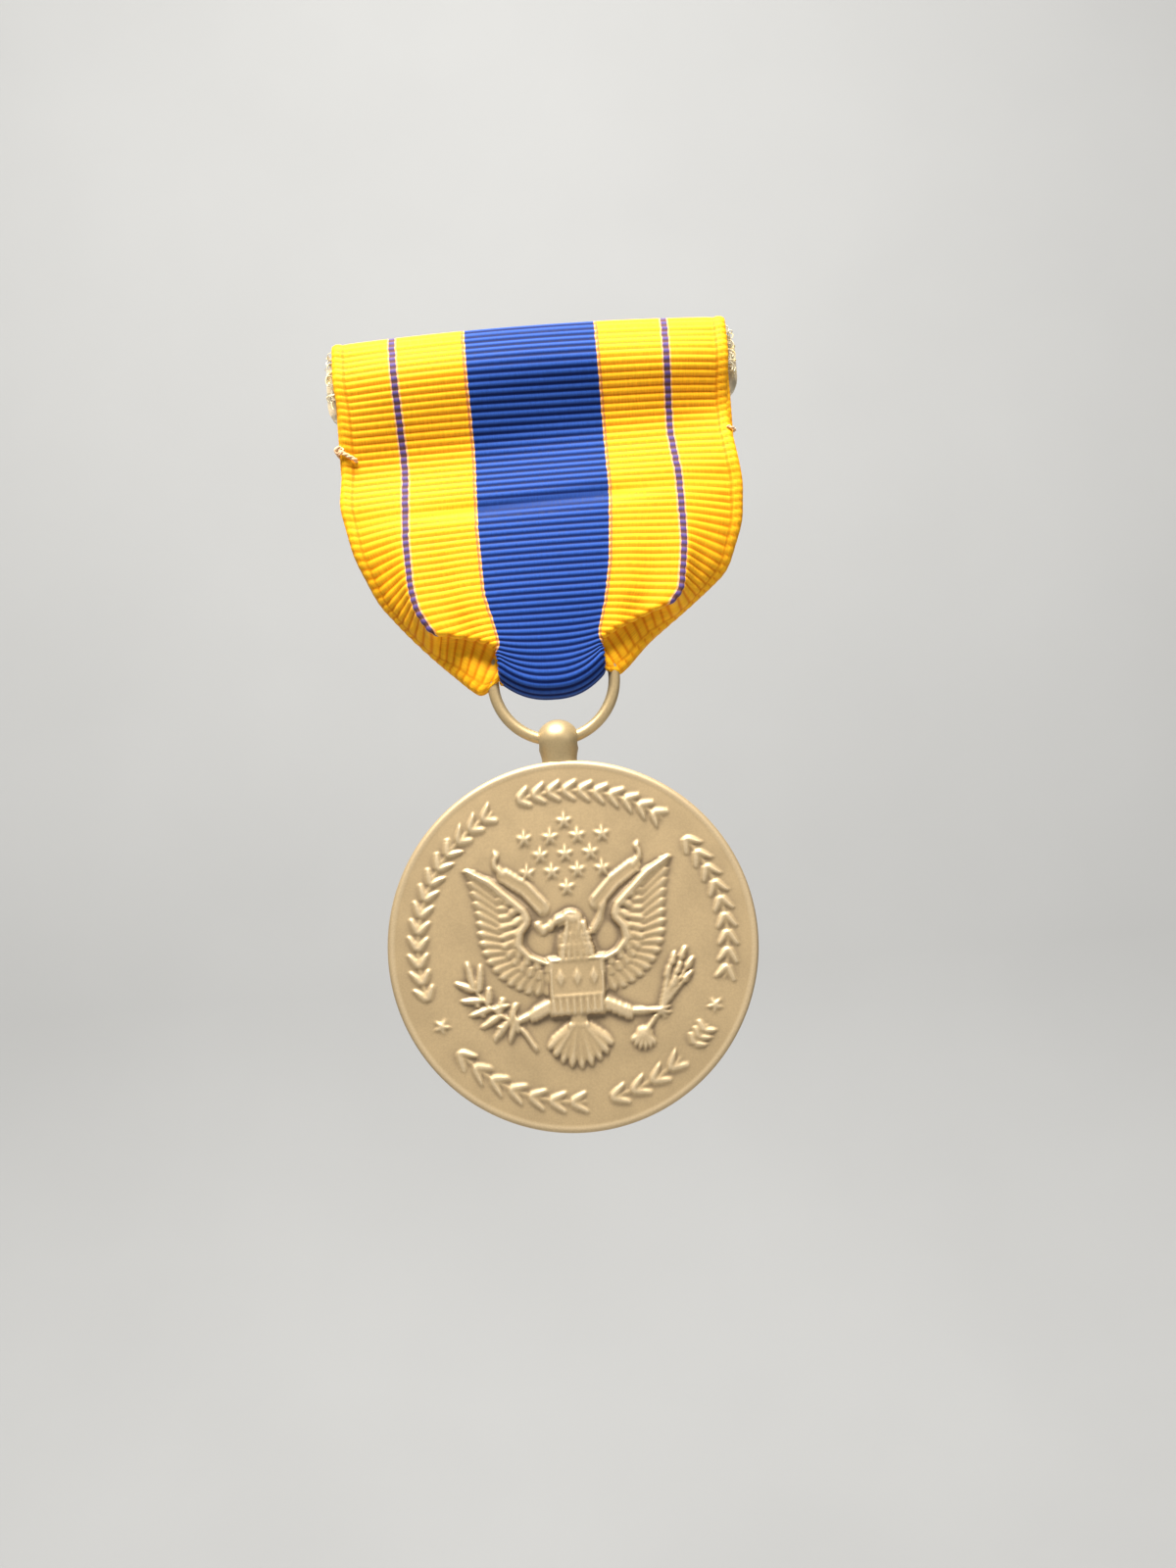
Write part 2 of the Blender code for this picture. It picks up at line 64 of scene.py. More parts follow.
def frame_box(node):
    """A CAD node's lowest and highest corner in millimetres."""
    low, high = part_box(node)
    return np.array(low) / MM, np.array(high) / MM


# Places taken from the frame
PLATE_LOW, PLATE_HIGH = frame_box("brooch_plate")
WRAP_LOW, WRAP_HIGH = frame_box("ribbon_brooch_wrap")
RING_LOW, RING_HIGH = frame_box("suspension_ring")
DISC_LOW, DISC_HIGH = frame_box("medallion")
TURNED_FOOT = frame_box("ribbon_turned_end")[0][2]
BALL_TOP = frame_box("suspension_ball")[1][2]
RING_CENTRE = (RING_LOW + RING_HIGH) / 2
WIRE_RADIUS = (RING_HIGH[1] - RING_LOW[1]) / 2
RING_RADIUS = (RING_HIGH[0] - RING_LOW[0]) / 2 - WIRE_RADIUS
HANG_Y = RING_CENTRE[1]
TOP_Z = WRAP_HIGH[2]
HALF_WIDTH = WRAP_HIGH[0]
DISC_CENTRE = (DISC_LOW + DISC_HIGH) / 2
DISC_RADIUS = (DISC_HIGH[0] - DISC_LOW[0]) / 2
SEAM_Z = frame_box("seam_stitch_1")[0][2] + 0.2


# ---------------------------------------------------------------- small tools


def mix(low, high, share):
    """low where share is 0 and high where it is 1."""
    return low + (high - low) * share


def ease(low, high, value):
    """0 below low, 1 above high, and a smooth turn between."""
    share = np.clip((value - low) / (high - low), 0, 1)
    return share * share * (3 - 2 * share)


def through(points, places, soft=0.7):
    """Values at places on the line through (place, value) points, with rounded corners."""
    known, values = zip(*points)
    shifts = np.linspace(-soft, soft, 9)
    return np.mean([np.interp(places + shift, known, values) for shift in shifts], axis=0)


def mesh_object(name, points, faces, material):
    """A smooth-shaded object made of points in millimetres."""
    mesh = bpy.data.meshes.new(name)
    mesh.from_pydata((np.asarray(points, float) * MM).tolist(), [], faces)
    mesh.update()
    mesh.shade_smooth()
    mesh.materials.append(material)
    made = bpy.data.objects.new(name, mesh)
    bpy.context.scene.collection.objects.link(made)
    return made


def add_value(made, name, values):
    """Store one number for each vertex, for the material to read."""
    attribute = made.data.attributes.new(name, "FLOAT", "POINT")
    attribute.data.foreach_set("value", np.asarray(values, np.float32).ravel())


def grid_faces(rows, columns, start=0, flip=False, wrap=False):
    """Quads over a grid of vertices that was added row by row from index start."""
    faces = []
    last = columns if wrap else columns - 1
    for row in range(rows - 1):
        for column in range(last):
            after = (column + 1) % columns
            a = start + row * columns + column
            b = start + row * columns + after
            c = start + (row + 1) * columns + after
            d = start + (row + 1) * columns + column
            faces.append((a, d, c, b) if flip else (a, b, c, d))
    return faces


def tube(path, radii, sides):
    """Points and faces of a round-ended tube along a path."""
    path = np.asarray(path, float)
    radii = np.broadcast_to(radii, len(path))
    along = np.gradient(path, axis=0)
    along /= np.linalg.norm(along, axis=1)[:, None]
    guide = np.array([0.31, 0.22, 0.93])
    points = []
    for place, ahead, radius in zip(path, along, radii):
        side = np.cross(ahead, guide)
        side /= np.linalg.norm(side)
        up = np.cross(side, ahead)
        guide = up
        for step in range(sides):
            angle = 2 * math.pi * step / sides
            points.append(place + (side * math.cos(angle) + up * math.sin(angle)) * radius)
    faces = grid_faces(len(path), sides, wrap=True)
    faces.append(tuple(range(sides)))
    faces.append(tuple(reversed(range(len(points) - sides, len(points)))))
    return points, faces


def joined(parts):
    """Several (points, faces) pairs as one."""
    points, faces = [], []
    for part_points, part_faces in parts:
        start = len(points)
        points += list(part_points)
        faces += [tuple(start + corner for corner in face) for face in part_faces]
    return points, faces


def lathe(profile, steps):
    """Points and faces of (radius, z) pairs turned about Z; the ends close on the axis."""
    points = []
    for radius, z in profile[1:-1]:
        for step in range(steps):
            angle = 2 * math.pi * step / steps
            points.append((radius * math.cos(angle), radius * math.sin(angle), z))
    rings = len(profile) - 2
    faces = grid_faces(rings, steps, wrap=True)
    points += [(0, 0, profile[0][1]), (0, 0, profile[-1][1])]
    for step in range(steps):
        after = (step + 1) % steps
        faces.append((rings * steps, after, step))
        top = (rings - 1) * steps
        faces.append((rings * steps + 1, top + step, top + after))
    return points, faces


# ---------------------------------------------------------------- materials


class Finish:
    """One material, with short calls that add nodes to its tree."""

    def __init__(self, name):
        self.material = bpy.data.materials.new(name)
        self.material.use_nodes = True
        self.tree = self.material.node_tree
        self.shader = self.tree.nodes["Principled BSDF"]

    def new(self, kind):
        return self.tree.nodes.new("ShaderNode" + kind)

    def give(self, node, values):
        """Set or link a node's inputs, named or numbered, and return its first output."""
        for key, value in values.items():
            socket = node.inputs[key]
            if isinstance(value, bpy.types.NodeSocket):
                self.tree.links.new(value, socket)
            elif socket.type == "RGBA":
                socket.default_value = (*value, 1)
            else:
                socket.default_value = value
        return node.outputs[0]

    def surface(self, **values):
        """Set the shader's inputs, named with _ for each space."""
        self.give(self.shader, {name.replace("_", " "): value for name, value in values.items()})

    def math(self, operation, *values):
        node = self.new("Math")
        node.operation = operation
        return self.give(node, dict(enumerate(values)))

    def mix(self, share, first, second, blend="MIX"):
        node = self.new("Mix")
        node.data_type = "RGBA"
        node.blend_type = blend
        self.give(node, {0: share, 6: first, 7: second})
        return node.outputs[2]

    def shaded(self, colour, shade):
        """A colour made darker or lighter by a factor."""
        grey = self.give(self.new("CombineXYZ"), {0: shade, 1: shade, 2: shade})
        return self.mix(1.0, colour, grey, "MULTIPLY")

    def painted(self, colour, where, strength, paint):
        """A colour with paint over it, up to a strength, where a mask is 1."""
        return self.mix(self.math("MULTIPLY", where, strength), colour, paint)

    def attribute(self, name):
        node = self.new("Attribute")
        node.attribute_name = name
        return node.outputs["Fac"]

    def place(self, scale=(1 / MM,) * 3):
        """Object coordinates in millimetres, or stretched by a scale for each axis."""
        local = self.new("TexCoord").outputs["Object"]
        return self.give(self.new("Mapping"), {"Vector": local, "Scale": scale})

    def flat(self, x, y):
        """A place on the flat ribbon."""
        return self.give(self.new("CombineXYZ"), {0: x, 1: y})

    def noise(self, vector, scale, detail, roughness=0.5):
        values = {"Vector": vector, "Scale": scale, "Detail": detail, "Roughness": roughness}
        return self.give(self.new("TexNoise"), values)

    def range(self, value, low, high, to_low=0.0, to_high=1.0):
        """to_low at low, to_high at high, with a smooth turn between."""
        node = self.new("MapRange")
        node.interpolation_type = "SMOOTHSTEP"
        return self.give(node, {0: value, 1: low, 2: high, 3: to_low, 4: to_high})

    def band(self, value, centre, half, edge):
        """1 within half of centre, falling to 0 over edge."""
        away = self.math("ABSOLUTE", self.math("SUBTRACT", value, centre))
        return self.range(away, half, half + edge, 1.0, 0.0)

    def bump(self, height, distance, strength):
        """A normal that follows a height whose 1 stands for a distance in millimetres."""
        values = {"Height": height, "Distance": distance * MM, "Strength": strength}
        return self.give(self.new("Bump"), values)


# The weave: the pitch of its ribs, and the stripes' distances from the ribbon's middle
RIB_PITCH = 0.6
BORDER = 5.65
PINSTRIPE = 11.6
EDGE_LINE = 16.35


def ribbon_silk():
    """Ribbed silk with a blue middle, yellow sides and a dotted pinstripe in each side; in each rib
    the groove's colour is painted shade and the ridge's a painted highlight.
    """
    silk = Finish("ribbon_silk")
    across, along, rib = (silk.attribute(name) for name in ("across", "along", "rib"))
    wobble = silk.noise(silk.flat(0.0, silk.math("MULTIPLY", along, 1.6)), 1.0, 3.0)
    wobble = silk.math("MULTIPLY", silk.math("SUBTRACT", wobble, 0.5), 0.22)
    away = silk.math("ADD", silk.math("ABSOLUTE", across), wobble)
    on_rib = silk.range(rib, 0.45, 0.95)
    patches = silk.noise(silk.place(), 0.16, 3.0)

    # Each yellow runs from painted groove shade to a painted ridge highlight as the rib value goes
    # from 0 to 1, with random patches of tone
    yellow_groove_shade = silk.mix(patches, (0.68, 0.20, 0.001), (0.72, 0.23, 0.002))
    yellow_ridge_highlight = silk.mix(patches, (0.86, 0.395, 0.008), (0.90, 0.44, 0.014))
    yellow = silk.mix(silk.range(rib, 0.0, 0.85), yellow_groove_shade, yellow_ridge_highlight)
    edge_line = silk.band(away, EDGE_LINE, 0.05, 0.16)
    yellow = silk.painted(yellow, edge_line, 0.55, (0.60, 0.17, 0.001))
    # The blue also runs from painted groove shade to a painted ridge highlight across each rib
    blue = silk.mix(silk.range(rib, 0.35, 1.05), (0.001, 0.009, 0.075), (0.024, 0.080, 0.34))
    colour = silk.mix(silk.range(away, BORDER - 0.08, BORDER + 0.02, 1.0, 0.0), yellow, blue)

    # The border's red fringe and pale warp, and the pinstripe with its pale edges
    colour = silk.painted(colour, silk.band(away, BORDER + 0.16, 0.03, 0.12), 0.75, (0.42, 0.11, 0.05))
    warp = silk.math("MULTIPLY", silk.band(away, BORDER + 0.03, 0.03, 0.06), on_rib)
    colour = silk.painted(colour, warp, 0.45, (0.70, 0.42, 0.36))
    from_pin = silk.math("ABSOLUTE", silk.math("SUBTRACT", away, PINSTRIPE))
    colour = silk.painted(colour, silk.band(from_pin, 0.33, 0.05, 0.07), 0.4, (0.74, 0.40, 0.30))
    dots = silk.mix(on_rib, (0.06, 0.03, 0.05), (0.035, 0.038, 0.23))
    colour = silk.painted(colour, silk.band(away, PINSTRIPE, 0.24, 0.07), 0.92, dots)

    threads = silk.noise(silk.flat(silk.math("MULTIPLY", across, 7.0), along), 1.0, 2.0)
    fibre_place = silk.flat(silk.math("MULTIPLY", across, 14.0), silk.math("MULTIPLY", along, 0.8))
    silk.surface(
        Base_Color=silk.shaded(colour, silk.range(threads, 0.25, 0.75, 0.88, 1.08)),
        Roughness=silk.range(threads, 0.2, 0.8, 0.50, 0.65),
        Specular_IOR_Level=0.10,
        Sheen_Weight=0.03,
        Sheen_Roughness=0.4,
        Normal=silk.bump(silk.noise(fibre_place, 1.0, 3.0), 0.030, 0.6),
    )
    return silk.material


def sewing_thread():
    """Tan cotton thread with a fine fuzz."""
    thread = Finish("tan_thread")
    fuzz = thread.noise(thread.place(), 9.0, 4.0)
    thread.surface(
        Base_Color=thread.mix(fuzz, (0.55, 0.30, 0.13), (0.88, 0.60, 0.34)),
        Roughness=0.8,
        Sheen_Weight=0.25,
        Normal=thread.bump(fuzz, 0.02, 0.5),
    )
    return thread.material


def loose_fibre():
    """Pale yellowish warp silk, faded where it has frayed."""
    fibre = Finish("frayed_silk")
    fade = fibre.noise(fibre.place(), 1.1, 3.0)
    faded = fibre.range(fade, 0.35, 0.65)
    fibre.surface(
        Base_Color=fibre.mix(faded, (0.72, 0.55, 0.20), (0.74, 0.68, 0.50)),
        Roughness=0.6,
        Sheen_Weight=0.2,
        Normal=fibre.bump(fade, 0.01, 0.4),
    )
    return fibre.material


BRONZE_METALLIC = 0.55


def bronze(name, dark, middle, bright, roughness, worn_relief):
    """Satin bronze; on a worn relief its hollows are brown with patina and painted shade, and its
    heights rubbed bright.
    """
    metal = Finish(name)
    place = metal.place()
    cloud = metal.noise(place, 0.35, 4.0)
    speckle = metal.noise(place, 6.0, 3.0, 0.6)
    colour = metal.mix(metal.range(cloud, 0.35, 0.65), middle, tuple(part * 0.9 for part in middle))
    if worn_relief:
        wear_patina_and_shade = metal.attribute("wear_patina_and_shade")
        # The relief's hollows take the dark colour: patina with painted shade
        colour = metal.mix(metal.range(wear_patina_and_shade, 0.0, -0.11), colour, dark)
        colour = metal.mix(metal.range(wear_patina_and_shade, 0.01, 0.10), colour, bright)
        dullness = metal.range(wear_patina_and_shade, -0.12, 0.12, roughness + 0.07, roughness - 0.04)
    else:
        colour = metal.painted(colour, metal.range(speckle, 0.62, 0.78), 0.5, dark)
        dullness = metal.range(cloud, 0.3, 0.7, roughness - 0.05, roughness + 0.06)
    metal.surface(
        Base_Color=metal.shaded(colour, metal.range(speckle, 0.3, 0.7, 0.94, 1.05)),
        Metallic=BRONZE_METALLIC,
        Roughness=dullness,
        Normal=metal.bump(metal.noise(place, 14.0, 4.0, 0.65), 0.012, 0.5),
    )
    return metal.material


def sheet_metal(name, colour, dark, roughness):
    """Rolled brass or plated steel with fine scratches, dull spots and handling marks."""
    metal = Finish(name)
    scratches = metal.noise(metal.place((0.6 / MM, 6.0 / MM, 9.0 / MM)), 2.2, 5.0, 0.65)
    spots = metal.noise(metal.place(), 1.3, 4.0, 0.6)
    metal.surface(
        Base_Color=metal.mix(metal.range(spots, 0.5, 0.72), colour, dark),
        Metallic=1.0,
        Roughness=metal.range(spots, 0.35, 0.75, roughness, roughness + 0.2),
        Normal=metal.bump(scratches, 0.010, 0.5),
    )
    return metal.material


# ---------------------------------------------------------------- ribbon

ROW_STEP = RIB_PITCH / 4
HALF_THICKNESS = 0.10
RIB_RISE = 0.11
CREASE_DEPTH = 0.22
# The turn over the brooch's rail: its radius, and how far round it goes in degrees
RAIL_TURN = 1.08
WRAP_TURN = 172.0
# Heights below the top where the front, the fold through the ring and the seam begin
FRONT_START = 1.12
FOLD_START = 31.35
BACK_END = 8.85
# The pleats: depth from layer to layer, half the turn's width, and where the tuck is folded
LAYER_STEP = 0.44
LOOP = 0.26
TUCK = 12.25

# How each half lies, as (rib's height at the middle, distance from the middle, how much
# lower than at the middle the rib is there), outwards from the blue border
LAY = {
    -1: {
        "border": [
            (0, 5.7, 0), (11, 5.5, 0), (17.5, 5.6, 0), (23.6, 5.4, 0.05), (27, 4.6, -0.1),
            (28.8, 4.35, -0.5), (29.7, 4.7, -0.9), (31.35, 5.0, -2.3),
        ],
        "pinstripe": [
            (0, 12.2, 0), (12, 11.75, 0.05), (18, 12.0, 0.25), (22, 11.85, 0.5), (24, 11.4, 0.7),
            (26.2, 9.9, 0.9), (28, 9.6, 0.9), (31.35, 10.0, 0),
        ],
        "selvedge": [
            (0, 17.5, 0), (4, 17.5, 0), (6.5, 17.2, 0), (10, 17.25, 0.1), (14.3, 17.7, 0.3),
            (18.1, 16.7, 1.1), (21, 14.9, 2.3), (24, 12.6, 2.1), (26.2, 9.9, 2.8),
            (29.6, 7.0, 2.3), (30.5, 5.9, 2.1), (31.35, 4.3, -1.4),
        ],
        "fold": [(25.8, 11.6), (26.6, 9.4), (27.6, 7.45), (28.9, 5.9), (31.35, 5.2)],
        "tuck": [
            (26.2, 9.8, 0.7), (27, 8.6, -0.7), (28, 7.2, -1.7), (29.5, 5.2, -1.6), (31.35, 2.6, -1.6),
        ],
    },
    1: {
        "border": [
            (0, 5.9, 0), (15, 6.1, 0), (21.5, 5.6, 0), (25, 4.95, -0.05), (27.8, 4.2, -0.3),
            (29.6, 4.3, -0.8), (31.35, 4.9, -2.6),
        ],
        "pinstripe": [
            (0, 12.1, 0), (10, 11.9, 0), (14, 12.3, 0.1), (20, 12.3, 0.3), (24, 11.7, 0.6),
            (25.2, 10.4, 0.6), (28, 9.6, 0.7), (31.35, 10.0, 0),
        ],
        "selvedge": [
            (0, 17.5, 0), (4, 17.5, 0), (6.5, 17.2, 0), (10, 17.3, 0.1), (14.3, 17.9, 0.6),
            (17.5, 17.6, 1.0), (20.3, 16.0, 2.3), (22.2, 14.2, 1.9), (23.6, 13.0, 1.4),
            (25.2, 10.6, 1.6), (27, 8.6, 1.4), (29.5, 6.2, 1.5), (30.5, 5.1, 1.1),
            (31.35, 4.0, -1.7),
        ],
        "fold": [(24.9, 11.6), (26.2, 9.3), (27.4, 7.4), (28.7, 5.9), (31.35, 5.2)],
        "tuck": [
            (25.2, 10.4, 0.4), (26.2, 8.8, -1.2), (27.4, 6.9, -1.7), (28.7, 5.2, -1.6),
            (31.35, 2.6, -1.9),
        ],
    },
}

# Depths, as (height below the top, y)
FRONT_MIDDLE_Y = [
    (1.12, -2.12), (2.4, -2.75), (3.8, -3.15), (5.0, -2.95), (7.5, -2.05), (9.3, -1.50),
    (10.6, -1.50), (12.0, -1.85), (14.5, -2.60), (17.0, -3.12), (20.0, -3.55), (24.0, -3.88),
    (28.0, -3.92), (31.35, -3.775),
]
FRONT_SELVEDGE_Y = [
    (1.12, -2.1), (3.8, -2.75), (5.0, -2.6), (7.5, -1.9), (9.3, -1.5), (10.6, -1.5), (14.0, -2.1),
    (18.0, -1.8), (21.0, -1.0), (24.0, -0.5), (26.2, -0.8), (28.5, -1.6), (30.4, -2.4),
    (31.35, -2.85),
]
BACK_MIDDLE_Y = [(8.85, -0.75), (14, -0.7), (24, -0.75), (31.35, -0.775)]
BACK_SELVEDGE_Y = [
    (8.85, -0.75), (14, -0.75), (18, -0.6), (21, -0.3), (24, 0.1), (26, 0.0), (29, -1.0),
    (31.35, -1.52),
]


def lay_line(side, name, height):
    """Distance from the middle and height of one of the lines that a half lies along."""
    points = LAY[side][name]
    distance = through([(place, x) for place, x, drop in points], height)
    drop = through([(place, drop) for place, x, drop in points], height)
    return distance, height + drop


def half_columns(fold, tuck):
    """Across values of one half's columns, closer together round the pleat's two folds."""
    parts = []
    stretches = [
        (np.zeros_like(fold), fold - LOOP, 18),
        (fold - LOOP, fold + LOOP, 5),
        (fold + LOOP, tuck - LOOP, 3),
        (tuck - LOOP, tuck + LOOP, 5),
        (tuck + LOOP, np.full_like(fold, HALF_WIDTH), 14),
    ]
    for low, high, count in stretches:
        parts += [mix(low, high, step / count) for step in range(count)]
    parts.append(np.full_like(fold, HALF_WIDTH))
    return np.concatenate(parts, axis=1)


def rounded_ramp(value, soft):
    """0 below zero and the value itself above, with a rounded corner."""
    return (value + np.sqrt(value * value + soft * soft)) / 2


def pleated_half(side, height, front):
    """(across, x, height, y) grids of one half of the front or the back panel."""
    height = height[:, None]
    border_x, border_h = lay_line(side, "border", height)
    pin_x, pin_h = lay_line(side, "pinstripe", height)
    edge_x, edge_h = lay_line(side, "selvedge", height)
    tuck_x, tuck_h = lay_line(side, "tuck", height)
    fold = through(LAY[side]["fold"], height, 0.4)
    folded = ease(-0.3, 0.55, height - LAY[side]["fold"][0][0])
    tuck = np.full_like(fold, TUCK)
    if front:
        middle_y = through(FRONT_MIDDLE_Y, height)
        edge_y = through(FRONT_SELVEDGE_Y, height + 0.4 * (side > 0))
        step = LAYER_STEP
        round_off = through([(0, 0), (14, 0), (18, 0.15), (22, 0.4), (26, 0.6), (31, 0.1)], height)
    else:
        middle_y = through(BACK_MIDDLE_Y, height)
        edge_y = through(BACK_SELVEDGE_Y, height)
        step = -LAYER_STEP
        round_off = through([(0, 0), (20, 0), (26, -0.15), (31, 0)], height)
    across = half_columns(fold, tuck)

    def unfolded(u):
        """Place on the ribbon if it had no pleat."""
        inner = np.clip(u / BORDER, 0, 1)
        yellow = np.clip((u - BORDER) / (PINSTRIPE - BORDER), 0, 1)
        outer = np.clip((u - PINSTRIPE) / (HALF_WIDTH - PINSTRIPE), 0, 1)
        x = border_x * inner + (pin_x - border_x) * yellow + (edge_x - pin_x) * outer
        h = height + (border_h - height) * inner**2.4 + (pin_h - border_h) * yellow**1.3
        h = h + (edge_h - pin_h) * outer**1.2
        pin_y = round_off * np.clip(u / PINSTRIPE, 0, 1) ** 2
        y = middle_y + pin_y + (edge_y - middle_y - round_off) * outer**1.6
        return np.stack([x, h, y])

    # Outwards from the pleat's fold the cloth turns back under, and from its tuck out again
    soft = 0.10 * folded + 0.01
    past_fold = rounded_ramp(across - fold, soft)
    past_tuck = rounded_ramp(across - tuck, soft)
    before = unfolded(across - past_fold)
    at_fold = unfolded(fold)
    at_tuck = unfolded(tuck)
    pleat_tuck = np.stack([tuck_x, tuck_h, at_fold[2]])
    tuck_place = mix(at_tuck, pleat_tuck, folded)
    edge_place = np.stack([edge_x, edge_h, edge_y - 2 * step * folded])
    turned = (past_fold - past_tuck) / (tuck - fold)
    outer = np.clip(past_tuck / (HALF_WIDTH - tuck), 0, 1)
    place = before + (tuck_place - at_fold) * turned
    ramp = np.stack([outer, outer**1.15, outer**1.15])
    place = place + (edge_place - tuck_place) * ramp
    layers = ease(-LOOP, LOOP, across - fold) + ease(-LOOP, LOOP, across - tuck)
    x, h, y = place
    return across * side, x * side, h, y + step * folded * layers


def both_halves(height, front):
    """The same grids from selvedge to selvedge."""
    left = pleated_half(-1, height, front)
    right = pleated_half(1, height, front)
    return [np.concatenate([a[:, ::-1], b[:, 1:]], axis=1) for a, b in zip(left, right)]


def wrap_path():
    """(y, z) of the strip's middle from its inner end, through the slot and over the rail."""
    inner_y = PLATE_LOW[1] - 0.33
    behind_y = PLATE_HIGH[1] + 0.03
    front_y = behind_y - 2 * RAIL_TURN
    slot_z = 2.35
    turn_z = TOP_Z - FRONT_START - RAIL_TURN * math.sin(math.radians(WRAP_TURN))
    path = [(inner_y + 0.28, TURNED_FOOT), (inner_y + 0.22, SEAM_Z), (inner_y, PLATE_LOW[2] - 0.5)]
    path += [(inner_y, z) for z in np.linspace(PLATE_LOW[2], slot_z - 0.75, 5)]
    for angle in np.linspace(0, math.pi / 2, 8)[1:]:
        path.append((inner_y + 0.6 * (1 - math.cos(angle)), slot_z - 0.6 + 0.6 * math.sin(angle)))
    for angle in np.linspace(0, math.pi / 2, 8):
        path.append((behind_y - 0.5 + 0.5 * math.sin(angle), slot_z + 0.5 * (1 - math.cos(angle))))
    centre_y = (behind_y + front_y) / 2
    for angle in np.linspace(0, math.radians(WRAP_TURN), 28):
        path.append((centre_y + RAIL_TURN * math.cos(angle), turn_z + RAIL_TURN * math.sin(angle)))
    return path


STRETCH_START = {"wrap": 0.0, "front": FRONT_START, "fold": 0.0, "back": FOLD_START}


def ribbon_rows():
    """Every row's kind and place, evenly spaced along the middle of the whole strip."""
    stations = [("wrap", 0.0, y, z) for y, z in wrap_path()]
    for height in np.linspace(FRONT_START, FOLD_START, 240)[1:]:
        y = through(FRONT_MIDDLE_Y, np.array([height]))[0]
        stations.append(("front", height, y, TOP_Z - height))
    fold_front = stations[-1][2]
    fold_back = through(BACK_MIDDLE_Y, np.array([FOLD_START]))[0]
    radius = (fold_back - fold_front) / 2
    for angle in np.linspace(0, math.pi, 40)[1:]:
        y = fold_front + radius * (1 - math.cos(angle))
        stations.append(("fold", angle, y, TOP_Z - FOLD_START - radius * math.sin(angle)))
    for height in np.linspace(FOLD_START, BACK_END, 200)[1:]:
        y = through(BACK_MIDDLE_Y, np.array([height]))[0]
        stations.append(("back", height, y, TOP_Z - height))
    places = np.array([(y, z) for kind, value, y, z in stations])
    length = np.concatenate([[0], np.cumsum(np.linalg.norm(np.diff(places, axis=0), axis=1))])
    rows = np.arange(0, length[-1], ROW_STEP)
    index = np.clip(np.searchsorted(length, rows, side="right"), 1, len(length) - 1)
    share = (rows - length[index - 1]) / (length[index] - length[index - 1])
    kinds, values = [], []
    for i, part in zip(index, share):
        kind, value = stations[i][:2]
        start = stations[i - 1][1] if stations[i - 1][0] == kind else STRETCH_START[kind]
        kinds.append(kind)
        values.append(mix(start, value, part))
    middle = mix(places[index - 1], places[index], share[:, None])
    return rows, np.array(kinds), np.array(values), middle, length[-1]


def soft_waves(across, height):
    """Gentle hollows and swellings of the hanging front, in millimetres of depth."""
    low = ease(17, 25, height)
    pleats = 0.16 * np.cos((np.abs(across) - 9.0) * 2 * math.pi / 4.6) * ease(5, 8, np.abs(across))
    slow = 0.10 * np.sin(across * 0.31 + 0.8) * np.sin(height * 0.27)
    return low * pleats + slow * ease(2, 6, height) * (1 - ease(28, 31, height))


def hollow_slant(across, height):
    """The slant of the hollow below the brooch, which reaches lower at the left."""
    window = ease(3.5, 8.5, height) * (1 - ease(12.0, 19.0, height))
    slanted = height + 0.075 * across * window
    return through(FRONT_MIDDLE_Y, slanted) - through(FRONT_MIDDLE_Y, height)


def top_bow(x, z):
    """The ribbon stands a little proud of the straight rail, most in its middle."""
    return (0.25 + 0.55 * (1 - (x / HALF_WIDTH) ** 2)) * ease(-7.0, 2.5, z)


def crease_share(across, height):
    """1 on the pressed crease that runs across the front below the brooch."""
    away = height - (15.7 - 0.05 * across - 0.0015 * across**2)
    fades = 0.35 + 0.65 * ease(11.0, 5.0, across) * ease(-14.0, -5.0, across)
    return np.exp(-((away / 0.80) ** 2)) * fades


